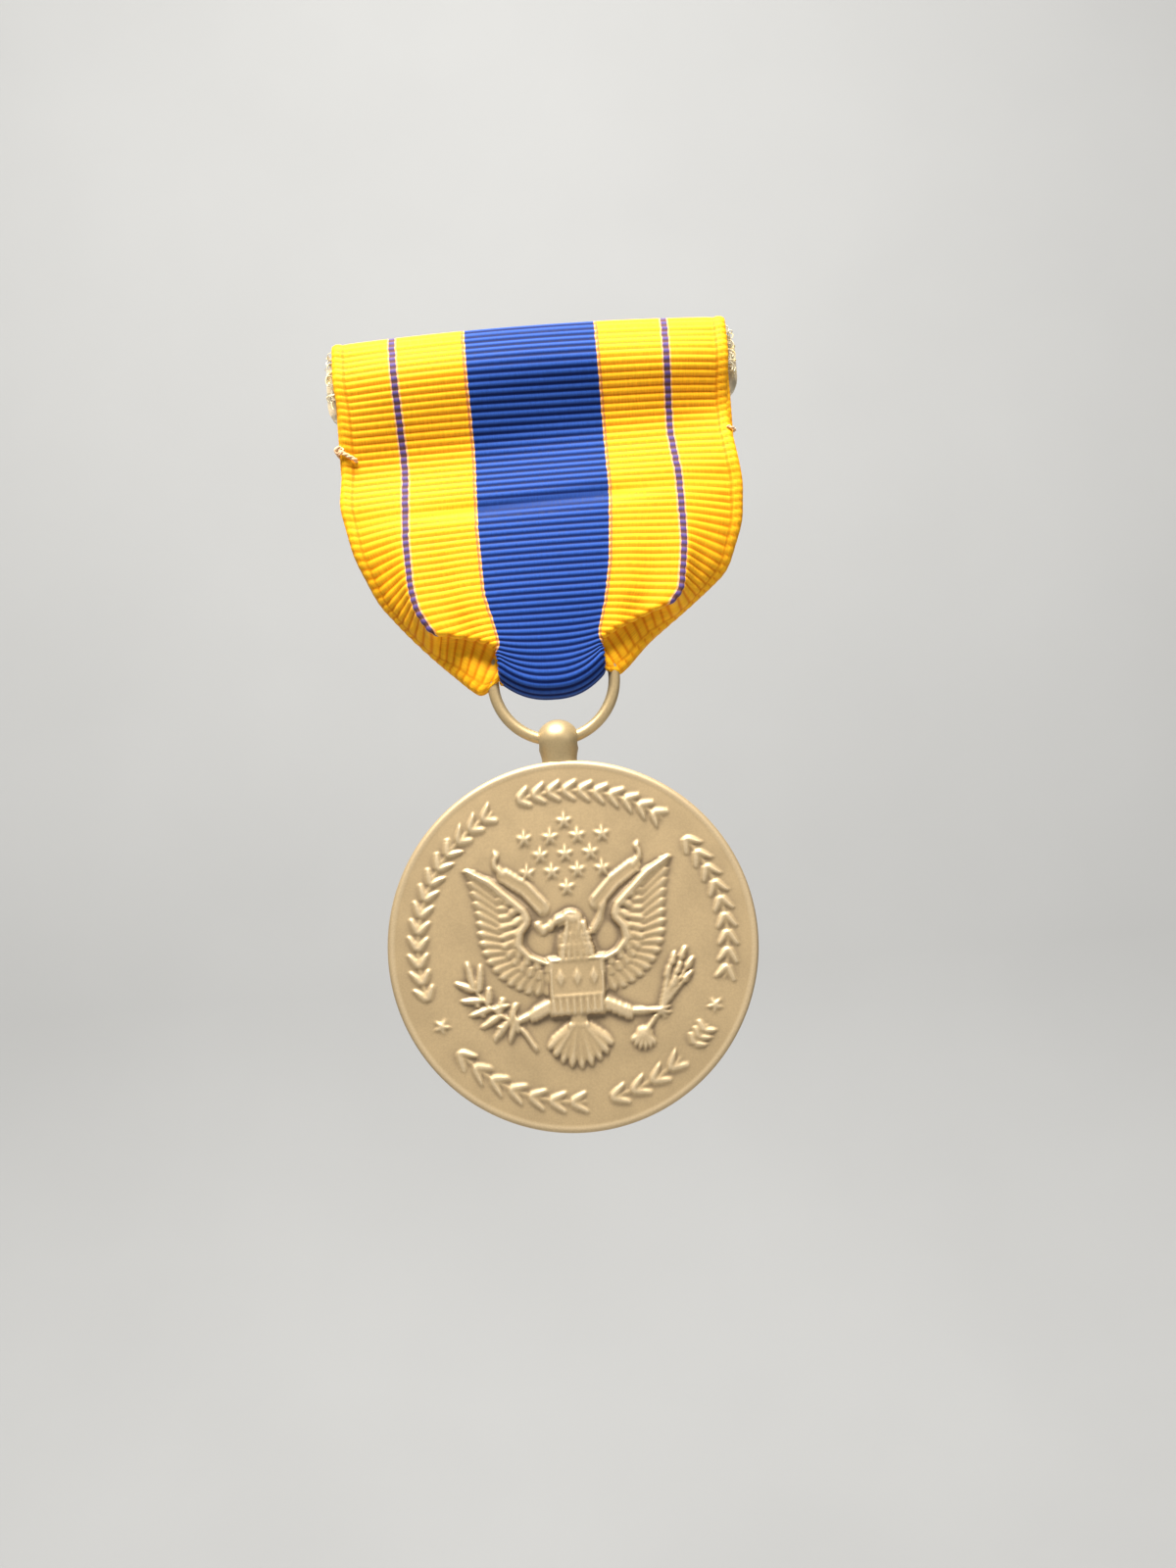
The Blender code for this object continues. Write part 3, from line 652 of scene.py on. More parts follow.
def ribbon(silk):
    """The whole ribbon, from the end turned up under the brooch to the seam behind."""
    along, kinds, values, middle, length = ribbon_rows()
    rows = len(along)
    front = kinds == "front"
    back = kinds == "back"
    turning = kinds == "fold"
    wrap = kinds == "wrap"
    first = both_halves(np.array([FRONT_START]), True)
    columns = first[0].shape[1]
    across = np.zeros((rows, columns))
    grid = np.zeros((rows, columns, 3))
    height = np.zeros((rows, columns))

    across[wrap] = first[0][0]
    grid[wrap, :, 0] = first[1][0]
    grid[wrap, :, 1] = middle[wrap, :1]
    grid[wrap, :, 2] = middle[wrap, 1:]

    for chosen, is_front in ((front, True), (back, False)):
        u, x, h, y = both_halves(values[chosen], is_front)
        across[chosen] = u
        if is_front:
            y = y + soft_waves(u, h) + hollow_slant(u, h) + CREASE_DEPTH * crease_share(u, h)
        height[chosen] = h
        grid[chosen] = np.stack([x, y, TOP_Z - h], axis=2)

    before = both_halves(np.array([FOLD_START]), True)
    after = both_halves(np.array([FOLD_START]), False)
    angle = values[turning][:, None]
    u, x, h = (mix(a[0], b[0], angle / math.pi) for a, b in zip(before[:3], after[:3]))
    radius = (after[3][0] - before[3][0]) / 2
    y = before[3][0] + radius * (1 - np.cos(angle))
    across[turning] = u
    grid[turning] = np.stack([x, y, TOP_Z - h - radius * np.sin(angle)], axis=2)

    outer_face = (front | wrap) & (middle[:, 1] > PLATE_LOW[2] - 8) & (middle[:, 0] < HANG_Y + 1.3)
    over_rail = wrap & (middle[:, 1] > PLATE_HIGH[2] - 1.2)
    lifted = (outer_face | over_rail)[:, None]
    grid[:, :, 2] += np.where(lifted, top_bow(grid[:, :, 0], grid[:, :, 2]), 0.0)

    normal = np.cross(np.gradient(grid, axis=0), np.gradient(grid, axis=1))
    normal /= np.maximum(np.linalg.norm(normal, axis=2), 1e-9)[:, :, None]
    rim = np.abs(across)
    place_along = along[:, None] + 0.22 * np.clip((rim - 16.3) / 0.6, 0, 1)
    rib = np.sin(math.pi * ((place_along / RIB_PITCH) % 1.0)) ** 0.9
    # The rib value also goes to the silk, where it paints shade in each groove and a highlight on each
    # ridge; on the pressed crease it is pulled towards an even middle tone
    pressed = np.where(front[:, None], crease_share(across, height), 0.0)
    shade = mix(rib, 0.62, 0.8 * pressed)
    rib = rib * (1 - 0.75 * pressed)
    lip = ease(16.45, 16.8, rim) * (1 - ease(17.2, 17.45, rim))
    lip -= 0.8 * np.exp(-(((rim - 16.3) / 0.25) ** 2))
    half = HALF_THICKNESS + RIB_RISE * rib + 0.06 * lip
    half = half * (1 - 0.45 * ease(17.2, 17.45, rim))
    outside = grid + normal * half[:, :, None]
    inside = grid - normal * half[:, :, None]

    count = rows * columns
    points = np.concatenate([outside.reshape(-1, 3), inside.reshape(-1, 3)])
    faces = grid_faces(rows, columns)
    faces += grid_faces(rows, columns, count, flip=True)
    for row in range(rows - 1):
        for column in (0, columns - 1):
            a = row * columns + column
            b = (row + 1) * columns + column
            quad = (a, b, b + count, a + count)
            faces.append(quad if column == 0 else quad[::-1])
    for column in range(columns - 1):
        for row in (0, rows - 1):
            a = row * columns + column
            quad = (a, a + 1, a + 1 + count, a + count)
            faces.append(quad[::-1] if row == 0 else quad)
    made = mesh_object("ribbon", points, faces, silk)
    for name, value in (("across", across), ("along", place_along), ("rib", shade)):
        add_value(made, name, np.tile(value.ravel(), 2))
    return made, length


# ---------------------------------------------------------------- threads


TWIST_PITCH = 0.9
PLIES = 2


def twisted(path, radius):
    """Points and faces of a thread of twisted plies along a path."""
    path = np.asarray(path, float)
    length = np.concatenate([[0], np.cumsum(np.linalg.norm(np.diff(path, axis=0), axis=1))])
    places = np.linspace(0, length[-1], max(int(length[-1] / 0.07), 12))
    line = np.stack([np.interp(places, length, path[:, axis]) for axis in range(3)], axis=1)
    kernel = np.ones(5) / 5
    padded = np.pad(line, ((2, 2), (0, 0)), mode="edge")
    line = np.stack([np.convolve(padded[:, axis], kernel, "valid") for axis in range(3)], axis=1)
    ahead = np.gradient(line, axis=0)
    ahead /= np.linalg.norm(ahead, axis=1)[:, None]
    side = np.cross(ahead, np.array([0.2, 0.35, 0.91]))
    side /= np.linalg.norm(side, axis=1)[:, None]
    up = np.cross(side, ahead)
    parts = []
    width = radius * 0.56 * np.clip(0.45 + np.minimum(places, places[::-1]) / 0.25, 0, 1)
    for ply in range(PLIES):
        angle = 2 * math.pi * (places / TWIST_PITCH + ply / PLIES)
        offset = side * np.cos(angle)[:, None] + up * np.sin(angle)[:, None]
        parts.append(tube(line + offset * radius * 0.45, width, 8))
    return joined(parts)


FRAY_COUNT = 34
FRAY_RADIUS = 0.045


def edge_tacks(thread):
    """The thread that holds the layers together at each edge below the brooch."""
    made = []
    for side, name in ((-1, "edge_tack_left"), (1, "edge_tack_right")):
        low, high = frame_box(name)
        outside = side * (HALF_WIDTH + 0.05)
        inside = outside - side * (1.55 if side < 0 else 0.6)
        z = (low[2] + high[2]) / 2
        lift = 0.5 if side < 0 else -0.1
        loop = [
            (inside, -1.55, z - lift),
            (inside + side * 0.1, -1.98, z - lift * 0.8),
            (mix(inside, outside, 0.5), -2.08, z),
            (outside, -1.95, z + lift),
            (outside + side * 0.22, -1.3, z + lift),
            (outside, -0.5, z + lift * 0.5),
            (mix(inside, outside, 0.5), -0.38, z),
            (inside, -0.42, z - 0.1),
        ]
        parts = [twisted(loop, 0.19 if side < 0 else 0.13)]
        if side < 0:
            turn = np.linspace(0, 2.3 * math.pi, 26)
            knot_x = outside + 0.10 - 0.34 * np.cos(turn)
            knot_y = -1.98 - 0.10 * np.sin(turn * 2)
            knot_z = z + lift + 0.30 * np.sin(turn)
            parts.append(twisted(np.stack([knot_x, knot_y, knot_z], axis=1), 0.15))
        points, faces = joined(parts)
        piece = mesh_object(name + "_thread", points, faces, thread)
        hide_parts(name)
        made.append(piece)
    return made


def frayed_edges(fibre):
    """Loose warp fibres that stand out of the selvedges beside the brooch."""
    generator = np.random.default_rng(11)
    for side, name in ((-1, "frayed_edge_left"), (1, "frayed_edge_right")):
        parts = []
        for _ in range(FRAY_COUNT):
            start_y = generator.uniform(WRAP_LOW[1] + 0.5, PLATE_LOW[1])
            start_z = generator.uniform(PLATE_HIGH[2] - 4.2, PLATE_HIGH[2] + 0.2)
            start = np.array([side * (HALF_WIDTH - 0.15), start_y, start_z])
            reach = generator.uniform(0.35, 0.95)
            fall = generator.uniform(-0.4, 1.3)
            wave = generator.uniform(-0.35, 0.35)
            path = []
            for share in np.linspace(0, 1, 9):
                out = reach * math.sin(share * 2.2)
                down = fall * share**2
                drift = wave * math.sin(share * 4.0)
                path.append(start + np.array([side * out, drift, -down + 0.25 * drift]))
            parts.append(tube(path, FRAY_RADIUS * generator.uniform(0.7, 1.2), 5))
        points, faces = joined(parts)
        piece = mesh_object(name, points, faces, fibre)
        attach(piece, "brooch")


def seam_stitches(thread):
    """One raised stitch for each of the seam's stitches on the back panel."""
    made = []
    for number in range(1, 10):
        node = f"seam_stitch_{number}"
        low, high = frame_box(node)
        z = (low[2] + high[2]) / 2
        slope = 0.12 * (-1) ** number
        path = []
        for share in np.linspace(0, 1, 14):
            rise = math.sin(math.pi * share) ** 0.5
            path.append((mix(low[0], high[0], share), -0.62 + 0.26 * rise, z + slope * (share - 0.5)))
        points, faces = twisted(path, 0.17)
        piece = mesh_object(node + "_thread", points, faces, thread)
        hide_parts(node)
        made.append(piece)
    return made


# ---------------------------------------------------------------- ring and ball lug


def suspension_ring(metal):
    """The round wire ring, slightly flattened where its ends are brazed inside the ball."""
    turns, sides = 160, 24
    points = []
    for turn in range(turns):
        angle = 2 * math.pi * turn / turns
        out = np.array([math.sin(angle), 0.0, -math.cos(angle)])
        join = math.exp(-((min(turn, turns - turn) / 2.5) ** 2))
        wire = WIRE_RADIUS * (1 + 0.006 * math.sin(angle * 7) - 0.05 * join)
        for side in range(sides):
            twist = 2 * math.pi * side / sides
            offset = out * math.cos(twist) + np.array([0, 1, 0]) * math.sin(twist)
            points.append(RING_CENTRE + out * RING_RADIUS + offset * wire)
    faces = grid_faces(turns + 1, sides, wrap=True)
    faces = [tuple(corner % len(points) for corner in face) for face in faces]
    return mesh_object("ring_wire", points, faces, metal)


LUG_RADIUS = 1.86
NECK_RADIUS = 1.52
NECK_DEPTH = 1.16
LUG_TAPER = 1.9
BORE_REACH = 2.6


def suspension_ball(metal):
    """The ball lug with its bored hole, short neck and brazed foot on the medallion's edge."""
    centre_z = RING_CENTRE[2] - RING_RADIUS
    foot_z = DISC_HIGH[2] - 0.75
    profile = [(0, BALL_TOP)]
    for step in range(1, 16):
        angle = math.radians(90 - step * 6)
        z = centre_z + (BALL_TOP - centre_z) * math.sin(angle)
        profile.append((LUG_RADIUS * math.cos(angle), z))
    for step in range(1, 15):
        z = mix(centre_z, foot_z, step / 14)
        taper = ease(0, LUG_TAPER, centre_z - z)
        profile.append((mix(LUG_RADIUS, NECK_RADIUS, taper), z))
    profile.append((0, foot_z))
    points, faces = lathe(profile, 72)
    points = np.array(points)
    flat = mix(1.0, NECK_DEPTH / NECK_RADIUS, ease(0, LUG_TAPER, centre_z - points[:, 2]))
    points[:, 1] *= flat
    points += np.array([0, HANG_Y, 0])
    ball = mesh_object("ball_lug", points, faces, metal)
    bore_profile = []
    for x in np.linspace(-BORE_REACH, BORE_REACH, 17):
        sag = RING_RADIUS - math.sqrt(RING_RADIUS**2 - x * x)
        bore_profile.append((WIRE_RADIUS + 0.05 + sag, x))
    ends = [(0, -BORE_REACH - 0.01)] + bore_profile + [(0, BORE_REACH + 0.01)]
    bore_points, bore_faces = lathe(ends, 48)
    bore_points = [(z, y + HANG_Y, centre_z - x) for x, y, z in bore_points]
    tool = mesh_object("bore", bore_points, bore_faces, metal)
    cut = ball.modifiers.new("bore", "BOOLEAN")
    cut.operation = "DIFFERENCE"
    cut.solver = "EXACT"
    cut.use_self = True
    cut.object = tool
    bpy.context.view_layer.update()
    evaluated = ball.evaluated_get(bpy.context.evaluated_depsgraph_get())
    shape = bpy.data.meshes.new_from_object(evaluated)
    ball.modifiers.clear()
    ball.data = shape
    bpy.data.objects.remove(tool)
    shape.shade_smooth()
    shape.set_sharp_from_angle(angle=math.radians(35))
    return ball


# ---------------------------------------------------------------- medallion relief


class Relief:
    """Heights in millimetres over points given in disc radii, x right and y up."""

    def __init__(self, x, y):
        self.x = x
        self.y = y
        self.height = np.zeros_like(x)

    def near(self, points, margin, origin=(0, 0)):
        """Indices of the grid's places near some points, and their x and y from an origin."""
        low = np.min(points, axis=0) - margin
        high = np.max(points, axis=0) + margin
        inside = (self.x > low[0]) & (self.x < high[0]) & (self.y > low[1]) & (self.y < high[1])
        chosen = np.nonzero(inside.ravel())[0]
        return chosen, self.x.ravel()[chosen] - origin[0], self.y.ravel()[chosen] - origin[1]

    def raise_to(self, chosen, value):
        """Lift the chosen places to a value wherever they are lower."""
        flat = self.height.ravel()
        flat[chosen] = np.maximum(flat[chosen], value)

    def ridge(self, points, widths, height, power=0.5):
        """A rounded ridge along a line; widths and height may change along it."""
        points = np.asarray(points, float)
        widths = np.broadcast_to(widths, len(points))
        heights = np.broadcast_to(height, len(points))
        chosen, x, y = self.near(points, widths.max() * 1.05)
        best = np.zeros_like(x)
        for index in range(len(points) - 1):
            start, end = points[index], points[index + 1]
            line = end - start
            share = ((x - start[0]) * line[0] + (y - start[1]) * line[1]) / max(line @ line, 1e-9)
            share = np.clip(share, 0, 1)
            away = np.hypot(x - start[0] - share * line[0], y - start[1] - share * line[1])
            width = mix(widths[index], widths[index + 1], share)
            rise = np.clip(1 - (away / np.maximum(width, 1e-6)) ** 2, 0, 1) ** power
            best = np.maximum(best, rise * mix(heights[index], heights[index + 1], share))
        self.raise_to(chosen, best)

    def blade(self, root, tip, width, height, base, midrib, blunt):
        """A feather or leaf from root to tip with a raised shaft and sloping barbs."""
        root = np.asarray(root, float)
        tip = np.asarray(tip, float)
        line = tip - root
        length = np.hypot(*line)
        ahead = line / length
        side = np.array([-ahead[1], ahead[0]])
        chosen, x, y = self.near([root, tip], width * 1.2, root)
        share = (x * ahead[0] + y * ahead[1]) / length
        across = x * side[0] + y * side[1]
        shape = np.clip(share / 0.12, 0, 1) ** 0.6 * np.clip((1 - share) / blunt, 0, 1) ** 0.5
        ratio = across / (width * np.maximum(shape, 1e-4))
        inside = (share > 0) & (share < 1) & (np.abs(ratio) < 1)
        crown = np.clip(1 - ratio**2, 0, 1) ** 0.65
        shaft = np.exp(-((across / (0.16 * width)) ** 2))
        value = base + height * (0.8 * crown + midrib * shaft)
        self.raise_to(chosen[inside], value[inside])

    def plate(self, corners, height, bevel=0.012):
        """A flat-topped polygon with sloping sides; corners run anticlockwise."""
        corners = np.asarray(corners, float)
        chosen, x, y = self.near(corners, bevel)
        inside = np.full(len(x), 1e9)
        for index in range(len(corners)):
            start = corners[index]
            line = corners[(index + 1) % len(corners)] - start
            line /= np.hypot(*line)
            inside = np.minimum(inside, (y - start[1]) * line[0] - (x - start[0]) * line[1])
        self.raise_to(chosen, height * ease(-bevel, bevel, inside))

    def star(self, centre, size, height, turn=0.0):
        """A five-pointed star with ridged arms."""
        chosen, x, y = self.near([centre], size, centre)
        away = np.hypot(x, y)
        angle = np.arctan2(x, y) - turn
        fifth = 2 * math.pi / 5
        bent = np.abs((angle + fifth / 2) % fifth - fifth / 2)
        inner = size * 0.42
        reach = size * inner * math.sin(fifth / 2) / (
            size * np.sin(bent) + inner * np.sin(fifth / 2 - bent)
        )
        rise = np.clip((reach - away) / (size * 0.38), 0, 1) ** 0.7
        self.raise_to(chosen, height * rise)

    def dome(self, centre, radius_x, radius_y, height):
        """A rounded oval mound."""
        chosen, x, y = self.near([centre], max(radius_x, radius_y), centre)
        rise = np.clip(1 - (x / radius_x) ** 2 - (y / radius_y) ** 2, 0, 1) ** 0.5
        self.raise_to(chosen, height * rise)


def line_at(points, shares):
    """Points at even shares of a line's length."""
    points = np.asarray(points, float)
    length = np.concatenate([[0], np.cumsum(np.hypot(*np.diff(points, axis=0).T))])
    at = np.asarray(shares) * length[-1]
    return np.stack([np.interp(at, length, points[:, axis]) for axis in (0, 1)], axis=1)


def mirrored(points, side):
    """Points as given for side 1, and mirrored left to right for side -1."""
    return [(x * side, y) for x, y in points]


WING_ARM = [
    (0.558, 0.449), (0.437, 0.375), (0.334, 0.277), (0.258, 0.203), (0.240, 0.147), (0.290, 0.083),
    (0.300, 0.017), (0.243, -0.049), (0.144, -0.093),
]
WING_COVERTS = [
    (0.500, 0.400), (0.400, 0.330), (0.392, 0.250), (0.401, 0.135), (0.393, 0.027),
    (0.362, -0.052), (0.308, -0.115), (0.243, -0.160), (0.150, -0.194),
]
WING_EDGE = [
    (0.560, 0.442), (0.540, 0.352), (0.528, 0.277), (0.515, 0.200), (0.517, 0.128), (0.510, 0.047),
    (0.493, -0.023), (0.459, -0.096), (0.409, -0.158), (0.351, -0.208), (0.277, -0.245),
    (0.160, -0.269),
]


def wing(relief, side):
    """Three rows of feathers under a smooth leading edge."""
    arm = mirrored(WING_ARM, side)
    middle = mirrored(WING_COVERTS, side)
    edge = mirrored(WING_EDGE, side)
    inner = [tuple(mix(np.array(a), np.array(b), 0.5)) for a, b in zip(arm, middle)]
    # From line, to line, feathers, slant, start under the row before, width, height, base
    rows = (
        (middle, edge, 17, 0.20, -0.15, 0.029, 0.20, 0.02),
        (inner, middle, 15, 0.12, -0.10, 0.027, 0.20, 0.10),
        (arm, inner, 13, 0.06, 0.0, 0.024, 0.18, 0.17),
    )
    for line, height in ((inner, 0.17), (middle, 0.08)):
        bed = line_at(line, np.linspace(0.12, 1, 20))
        relief.ridge(bed, np.linspace(0.035, 0.075, 20), height, 0.35)
    for start, end, count, slant, under, width, height, base in rows:
        shares = np.linspace(0.0, 1.0, count)
        roots = line_at(start, slant + (1 - slant) * shares)
        tips = line_at(end, shares)
        for index in range(count - 1, -1, -1):
            root = mix(roots[index], tips[index], under)
            relief.blade(root, tips[index], width, height, base, 0.2, 0.22)
    shares = np.linspace(0, 1, 30)
    widths = 0.010 + 0.014 * np.sin(math.pi * shares) ** 0.7
    relief.ridge(line_at(arm, shares), widths, 0.42)


def eagle(relief):
    """Body, head, legs and tail."""
    relief.dome((0.008, -0.03), 0.104, 0.15, 0.34)
    relief.ridge([(0.022, -0.02), (0.026, 0.07), (0.012, 0.135)], [0.084, 0.068, 0.056], 0.44)
    generator = np.random.default_rng(7)
    for row, y in enumerate(np.linspace(0.10, -0.055, 6)):
        count = 4 + row // 2
        for column in range(count):
            x = 0.022 + (column - (count - 1) / 2) * 0.031 + generator.uniform(-0.004, 0.004)
            relief.blade((x, y + 0.035), (x * 1.06, y - 0.025), 0.015, 0.13, 0.36, 0.3, 0.5)
    relief.dome((0.008, 0.146), 0.060, 0.047, 0.51)
    beak = [(-0.025, 0.158), (-0.075, 0.146), (-0.106, 0.118), (-0.112, 0.088)]
    relief.ridge(beak, [0.032, 0.024, 0.015, 0.006], [0.50, 0.44, 0.36, 0.26])
    relief.ridge([(-0.02, 0.126), (-0.070, 0.112)], [0.018, 0.008], [0.36, 0.26])
    relief.ridge([(-0.036, 0.180), (0.0, 0.187), (0.034, 0.176)], [0.006, 0.010, 0.006], 0.56)
    relief.dome((-0.016, 0.158), 0.010, 0.009, 0.58)
    for side, hip, knee, foot in (
        (-1, (-0.14, -0.315), (-0.235, -0.355), (-0.325, -0.390)),
        (1, (0.15, -0.320), (0.280, -0.380), (0.455, -0.385)),
    ):
        relief.ridge([hip, knee], [0.041, 0.024], [0.26, 0.22])
        for step in range(4):
            for row in (-1, 0, 1):
                place = mix(np.array(hip), np.array(knee), 0.02 + step * 0.25 + 0.12 * (row % 2))
                start = place + np.array((-0.014 * side, 0.019 * row))
                end = start + np.array((0.052 * side, -0.022))
                relief.blade(start, end, 0.017, 0.17, 0.21 - 0.01 * step, 0.25, 0.6)
        relief.ridge([knee, foot], [0.018, 0.014], 0.30)
        for claw in (-0.9, -0.3, 0.4, 1.1):
            reach = np.array([math.cos(claw) * side, -math.sin(claw)]) * 0.048
            relief.ridge([foot, np.array(foot) + reach], [0.014, 0.006], [0.36, 0.24])
    relief.ridge([(0.005, -0.36), (0.002, -0.445)], [0.060, 0.050], 0.30)
    for step in range(5):
        relief.dome((-0.045 + step * 0.023, -0.435), 0.016, 0.022, 0.36)
    fan = 9
    for order in (0, 1):
        for index in range(order, fan, 2):
            angle = math.radians(-57 + 114 * index / (fan - 1))
            reach = 0.235 - 0.025 * abs(math.sin(angle))
            root = (0.002 + 0.035 * math.sin(angle), -0.435)
            tip = (0.002 + reach * math.sin(angle), -0.435 - reach * math.cos(angle))
            relief.blade(root, tip, 0.033, 0.20, 0.07 + 0.05 * order, 0.25, 0.3)


def shield(relief):
    """A plain shield: a framed chief with three lozenges over upright bars."""
    relief.plate([(-0.150, -0.378), (0.151, -0.380), (0.172, -0.056), (-0.142, -0.060)], 0.38)
    chief = [(-0.128, -0.078), (0.155, -0.075), (0.148, -0.275), (-0.133, -0.275)]
    relief.ridge(chief + chief[:1], 0.010, 0.50)
    for step in range(3):
        x = -0.080 + step * 0.092
        lozenge = [(x, -0.235), (x + 0.030, -0.175), (x, -0.115), (x - 0.030, -0.175)]
        relief.plate(lozenge, 0.50, 0.010)
    for step in range(8):
        x = -0.128 + step * 0.0375
        relief.ridge([(x, -0.292), (x * 0.985, -0.368)], 0.012, 0.52)


def branch(relief):
    """The olive branch in one foot."""
    stem = [(-0.243, -0.547), (-0.299, -0.450), (-0.381, -0.383), (-0.487, -0.298), (-0.560, -0.200)]
    relief.ridge(line_at(stem, np.linspace(0, 1, 16)), np.linspace(0.014, 0.008, 16), 0.26)
    leaves = [
        ((-0.560, -0.200), (-0.590, -0.050)),
        ((-0.535, -0.220), (-0.515, -0.068)),
        ((-0.555, -0.210), (-0.662, -0.160)),
        ((-0.515, -0.265), (-0.635, -0.262)),
        ((-0.490, -0.290), (-0.478, -0.195)),
        ((-0.470, -0.310), (-0.590, -0.345)),
        ((-0.430, -0.340), (-0.405, -0.258)),
        ((-0.420, -0.350), (-0.535, -0.415)),
        ((-0.380, -0.385), (-0.470, -0.488)),
        ((-0.370, -0.380), (-0.335, -0.292)),
        ((-0.350, -0.405), (-0.385, -0.505)),
        ((-0.455, -0.318), (-0.375, -0.300)),
    ]
    for root, tip in leaves:
        relief.blade(root, tip, 0.020, 0.20, 0.08, 0.35, 0.6)
    for berry in ((-0.52, -0.345), (-0.43, -0.42), (-0.545, -0.29), (-0.335, -0.44)):
        relief.dome(berry, 0.013, 0.013, 0.28)


def arrows(relief):
    """The bundle of arrows in the other foot."""
    foot = np.array((0.455, -0.385))
    nock = np.array((0.355, -0.505))
    heads = [
        (0.617, -0.050), (0.556, -0.075), (0.655, -0.110), (0.520, -0.140), (0.590, -0.130),
        (0.640, -0.185), (0.560, -0.200),
    ]
    for head in heads:
        head = np.array(head)
        relief.ridge([nock, foot, mix(foot, head, 0.85)], [0.012, 0.012, 0.007], 0.24)
        ahead = (head - foot) / np.hypot(*(head - foot))
        relief.blade(head - ahead * 0.075, head, 0.019, 0.22, 0.10, 0.3, 0.8)
    for step in range(6):
        angle = math.radians(205 + step * 22)
        tip = nock + np.array([math.cos(angle), math.sin(angle)]) * 0.085
        relief.blade(nock, tip, 0.020, 0.20, 0.07, 0.3, 0.4)
    relief.dome(nock, 0.050, 0.040, 0.26)


def scroll(relief):
    """The plain scroll that flutters behind the head."""
    left_band = [(-0.355, 0.405), (-0.240, 0.325), (-0.150, 0.215)]
    left_end = [(-0.185, 0.125), (-0.158, 0.085), (-0.110, 0.125)]
    right_band = [(0.368, 0.412), (0.250, 0.335), (0.145, 0.225)]
    right_end = [(0.185, 0.215), (0.150, 0.130), (0.112, 0.070)]
    curl = [
        (0.360, 0.415), (0.378, 0.440), (0.402, 0.462), (0.402, 0.495), (0.385, 0.520), (0.398, 0.535),
    ]
    for side, band, end in ((-1, left_band, left_end), (1, right_band, right_end)):
        relief.ridge(band, 0.040, 0.16, 0.25)
        for offset in (-0.032, 0.032):
            edge = [(x + offset * 0.55, y - offset * 0.8 * side) for x, y in band]
            relief.ridge(edge, 0.009, 0.26)
        relief.ridge(end, 0.020, 0.20)
        relief.ridge(mirrored(curl, side), [0.020, 0.018, 0.016, 0.014, 0.016, 0.010], 0.22)


def star_cluster(relief):
    """Thirteen stars in a diamond over the head."""
    rows = (
        (0.685, (0.0,)),
        (0.600, (-0.227, -0.083, 0.068, 0.204)),
        (0.503, (-0.144, -0.006, 0.133)),
        (0.410, (-0.224, -0.087, 0.056, 0.192)),
        (0.318, (-0.010,)),
    )
    for y, places in rows:
        for x in places:
            relief.star((x, y), 0.057, 0.21)


def legend_sprigs(relief):
    """Laurel sprigs where a struck legend would be, and a star at each side."""
    # Start and end in degrees, and the number of letters that each sprig stands for
    groups = (
        (194.0, 119.5, 9), (104.5, 52.6, 7), (36.9, -14.1, 6), (221.8, 268.0, 5),
        (283.0, 307.0, 3), (318.0, 324.0, 2),
    )
    ring = 0.855

    def at(angle, radius):
        return np.array([math.cos(math.radians(angle)), math.sin(math.radians(angle))]) * radius

    for start, end, count in groups:
        pairs = count * 3 // 2
        angles = np.linspace(start, end, pairs)
        step = (end - start) / (pairs - 1)
        line = [at(angle, ring) for angle in np.linspace(start - step * 0.35, end + step * 0.3, 24)]
        relief.ridge(line, 0.008, 0.10)
        for angle in angles:
            root = at(angle - step * 0.40, ring)
            for offset in (0.055, -0.055):
                relief.blade(root, at(angle + step * 0.42, ring + offset), 0.021, 0.19, 0.02, 0.3, 0.6)
    for angle in (207.6, -26.9):
        relief.star(at(angle, 0.846), 0.055, 0.20, math.radians(90 - angle))


def smoothed(values, passes):
    """A grid whose values are averaged with their neighbours', several times."""
    for _ in range(passes):
        padded = np.pad(values, 1, mode="edge")
        beside = padded[:-2, 1:-1] + padded[2:, 1:-1] + padded[1:-1, :-2] + padded[1:-1, 2:]
        values = (beside + 2 * values) / 6
    return values


def disc_grid(count):
    """A square grid of count by count cells bent into a disc of radius 1."""
    line = np.linspace(-1, 1, count + 1)
    a, b = np.meshgrid(line, line)
    wide = np.abs(a) > np.abs(b)
    radius = np.where(wide, a, b)
    safe = np.where(radius == 0, 1, radius)
    angle = np.where(wide, (math.pi / 4) * b / safe, math.pi / 2 - (math.pi / 4) * a / safe)
    return radius * np.cos(angle), radius * np.sin(angle)


def square_rim(count):
    """Indices of the grid's border vertices, once round."""
    side = count + 1
    rim = list(range(count))
    rim += [row * side + count for row in range(count)]
    rim += [count * side + column for column in range(count, 0, -1)]
    rim += [row * side for row in range(count, 0, -1)]
    return rim


RIM_ROUND = 0.38
FIELD_DEPTH = 0.03
CROWN = 0.20
REVERSE_DEPTH = 0.17
REVERSE_CELLS = 132
OBVERSE_CELLS = 2 * REVERSE_CELLS
RIM_STEPS = 4


def field_profile(radius, front):
    """Depth of a plain face below its rim: the obverse is crowned and the reverse is sunk."""
    edge_ratio = 1 - 0.22 / DISC_RADIUS
    dish = FIELD_DEPTH - CROWN * (1 - (radius / edge_ratio) ** 2) if front else REVERSE_DEPTH
    return dish * (1 - ease(edge_ratio - 0.012, edge_ratio + 0.014, radius))


def obverse_heights():
    """The struck front, from the stars to the shield."""
    x, y = disc_grid(OBVERSE_CELLS)
    relief = Relief(x, y)
    star_cluster(relief)
    legend_sprigs(relief)
    scroll(relief)
    branch(relief)
    arrows(relief)
    for side in (-1, 1):
        wing(relief, side)
    eagle(relief)
    shield(relief)
    return x, y, smoothed(relief.height, 2)


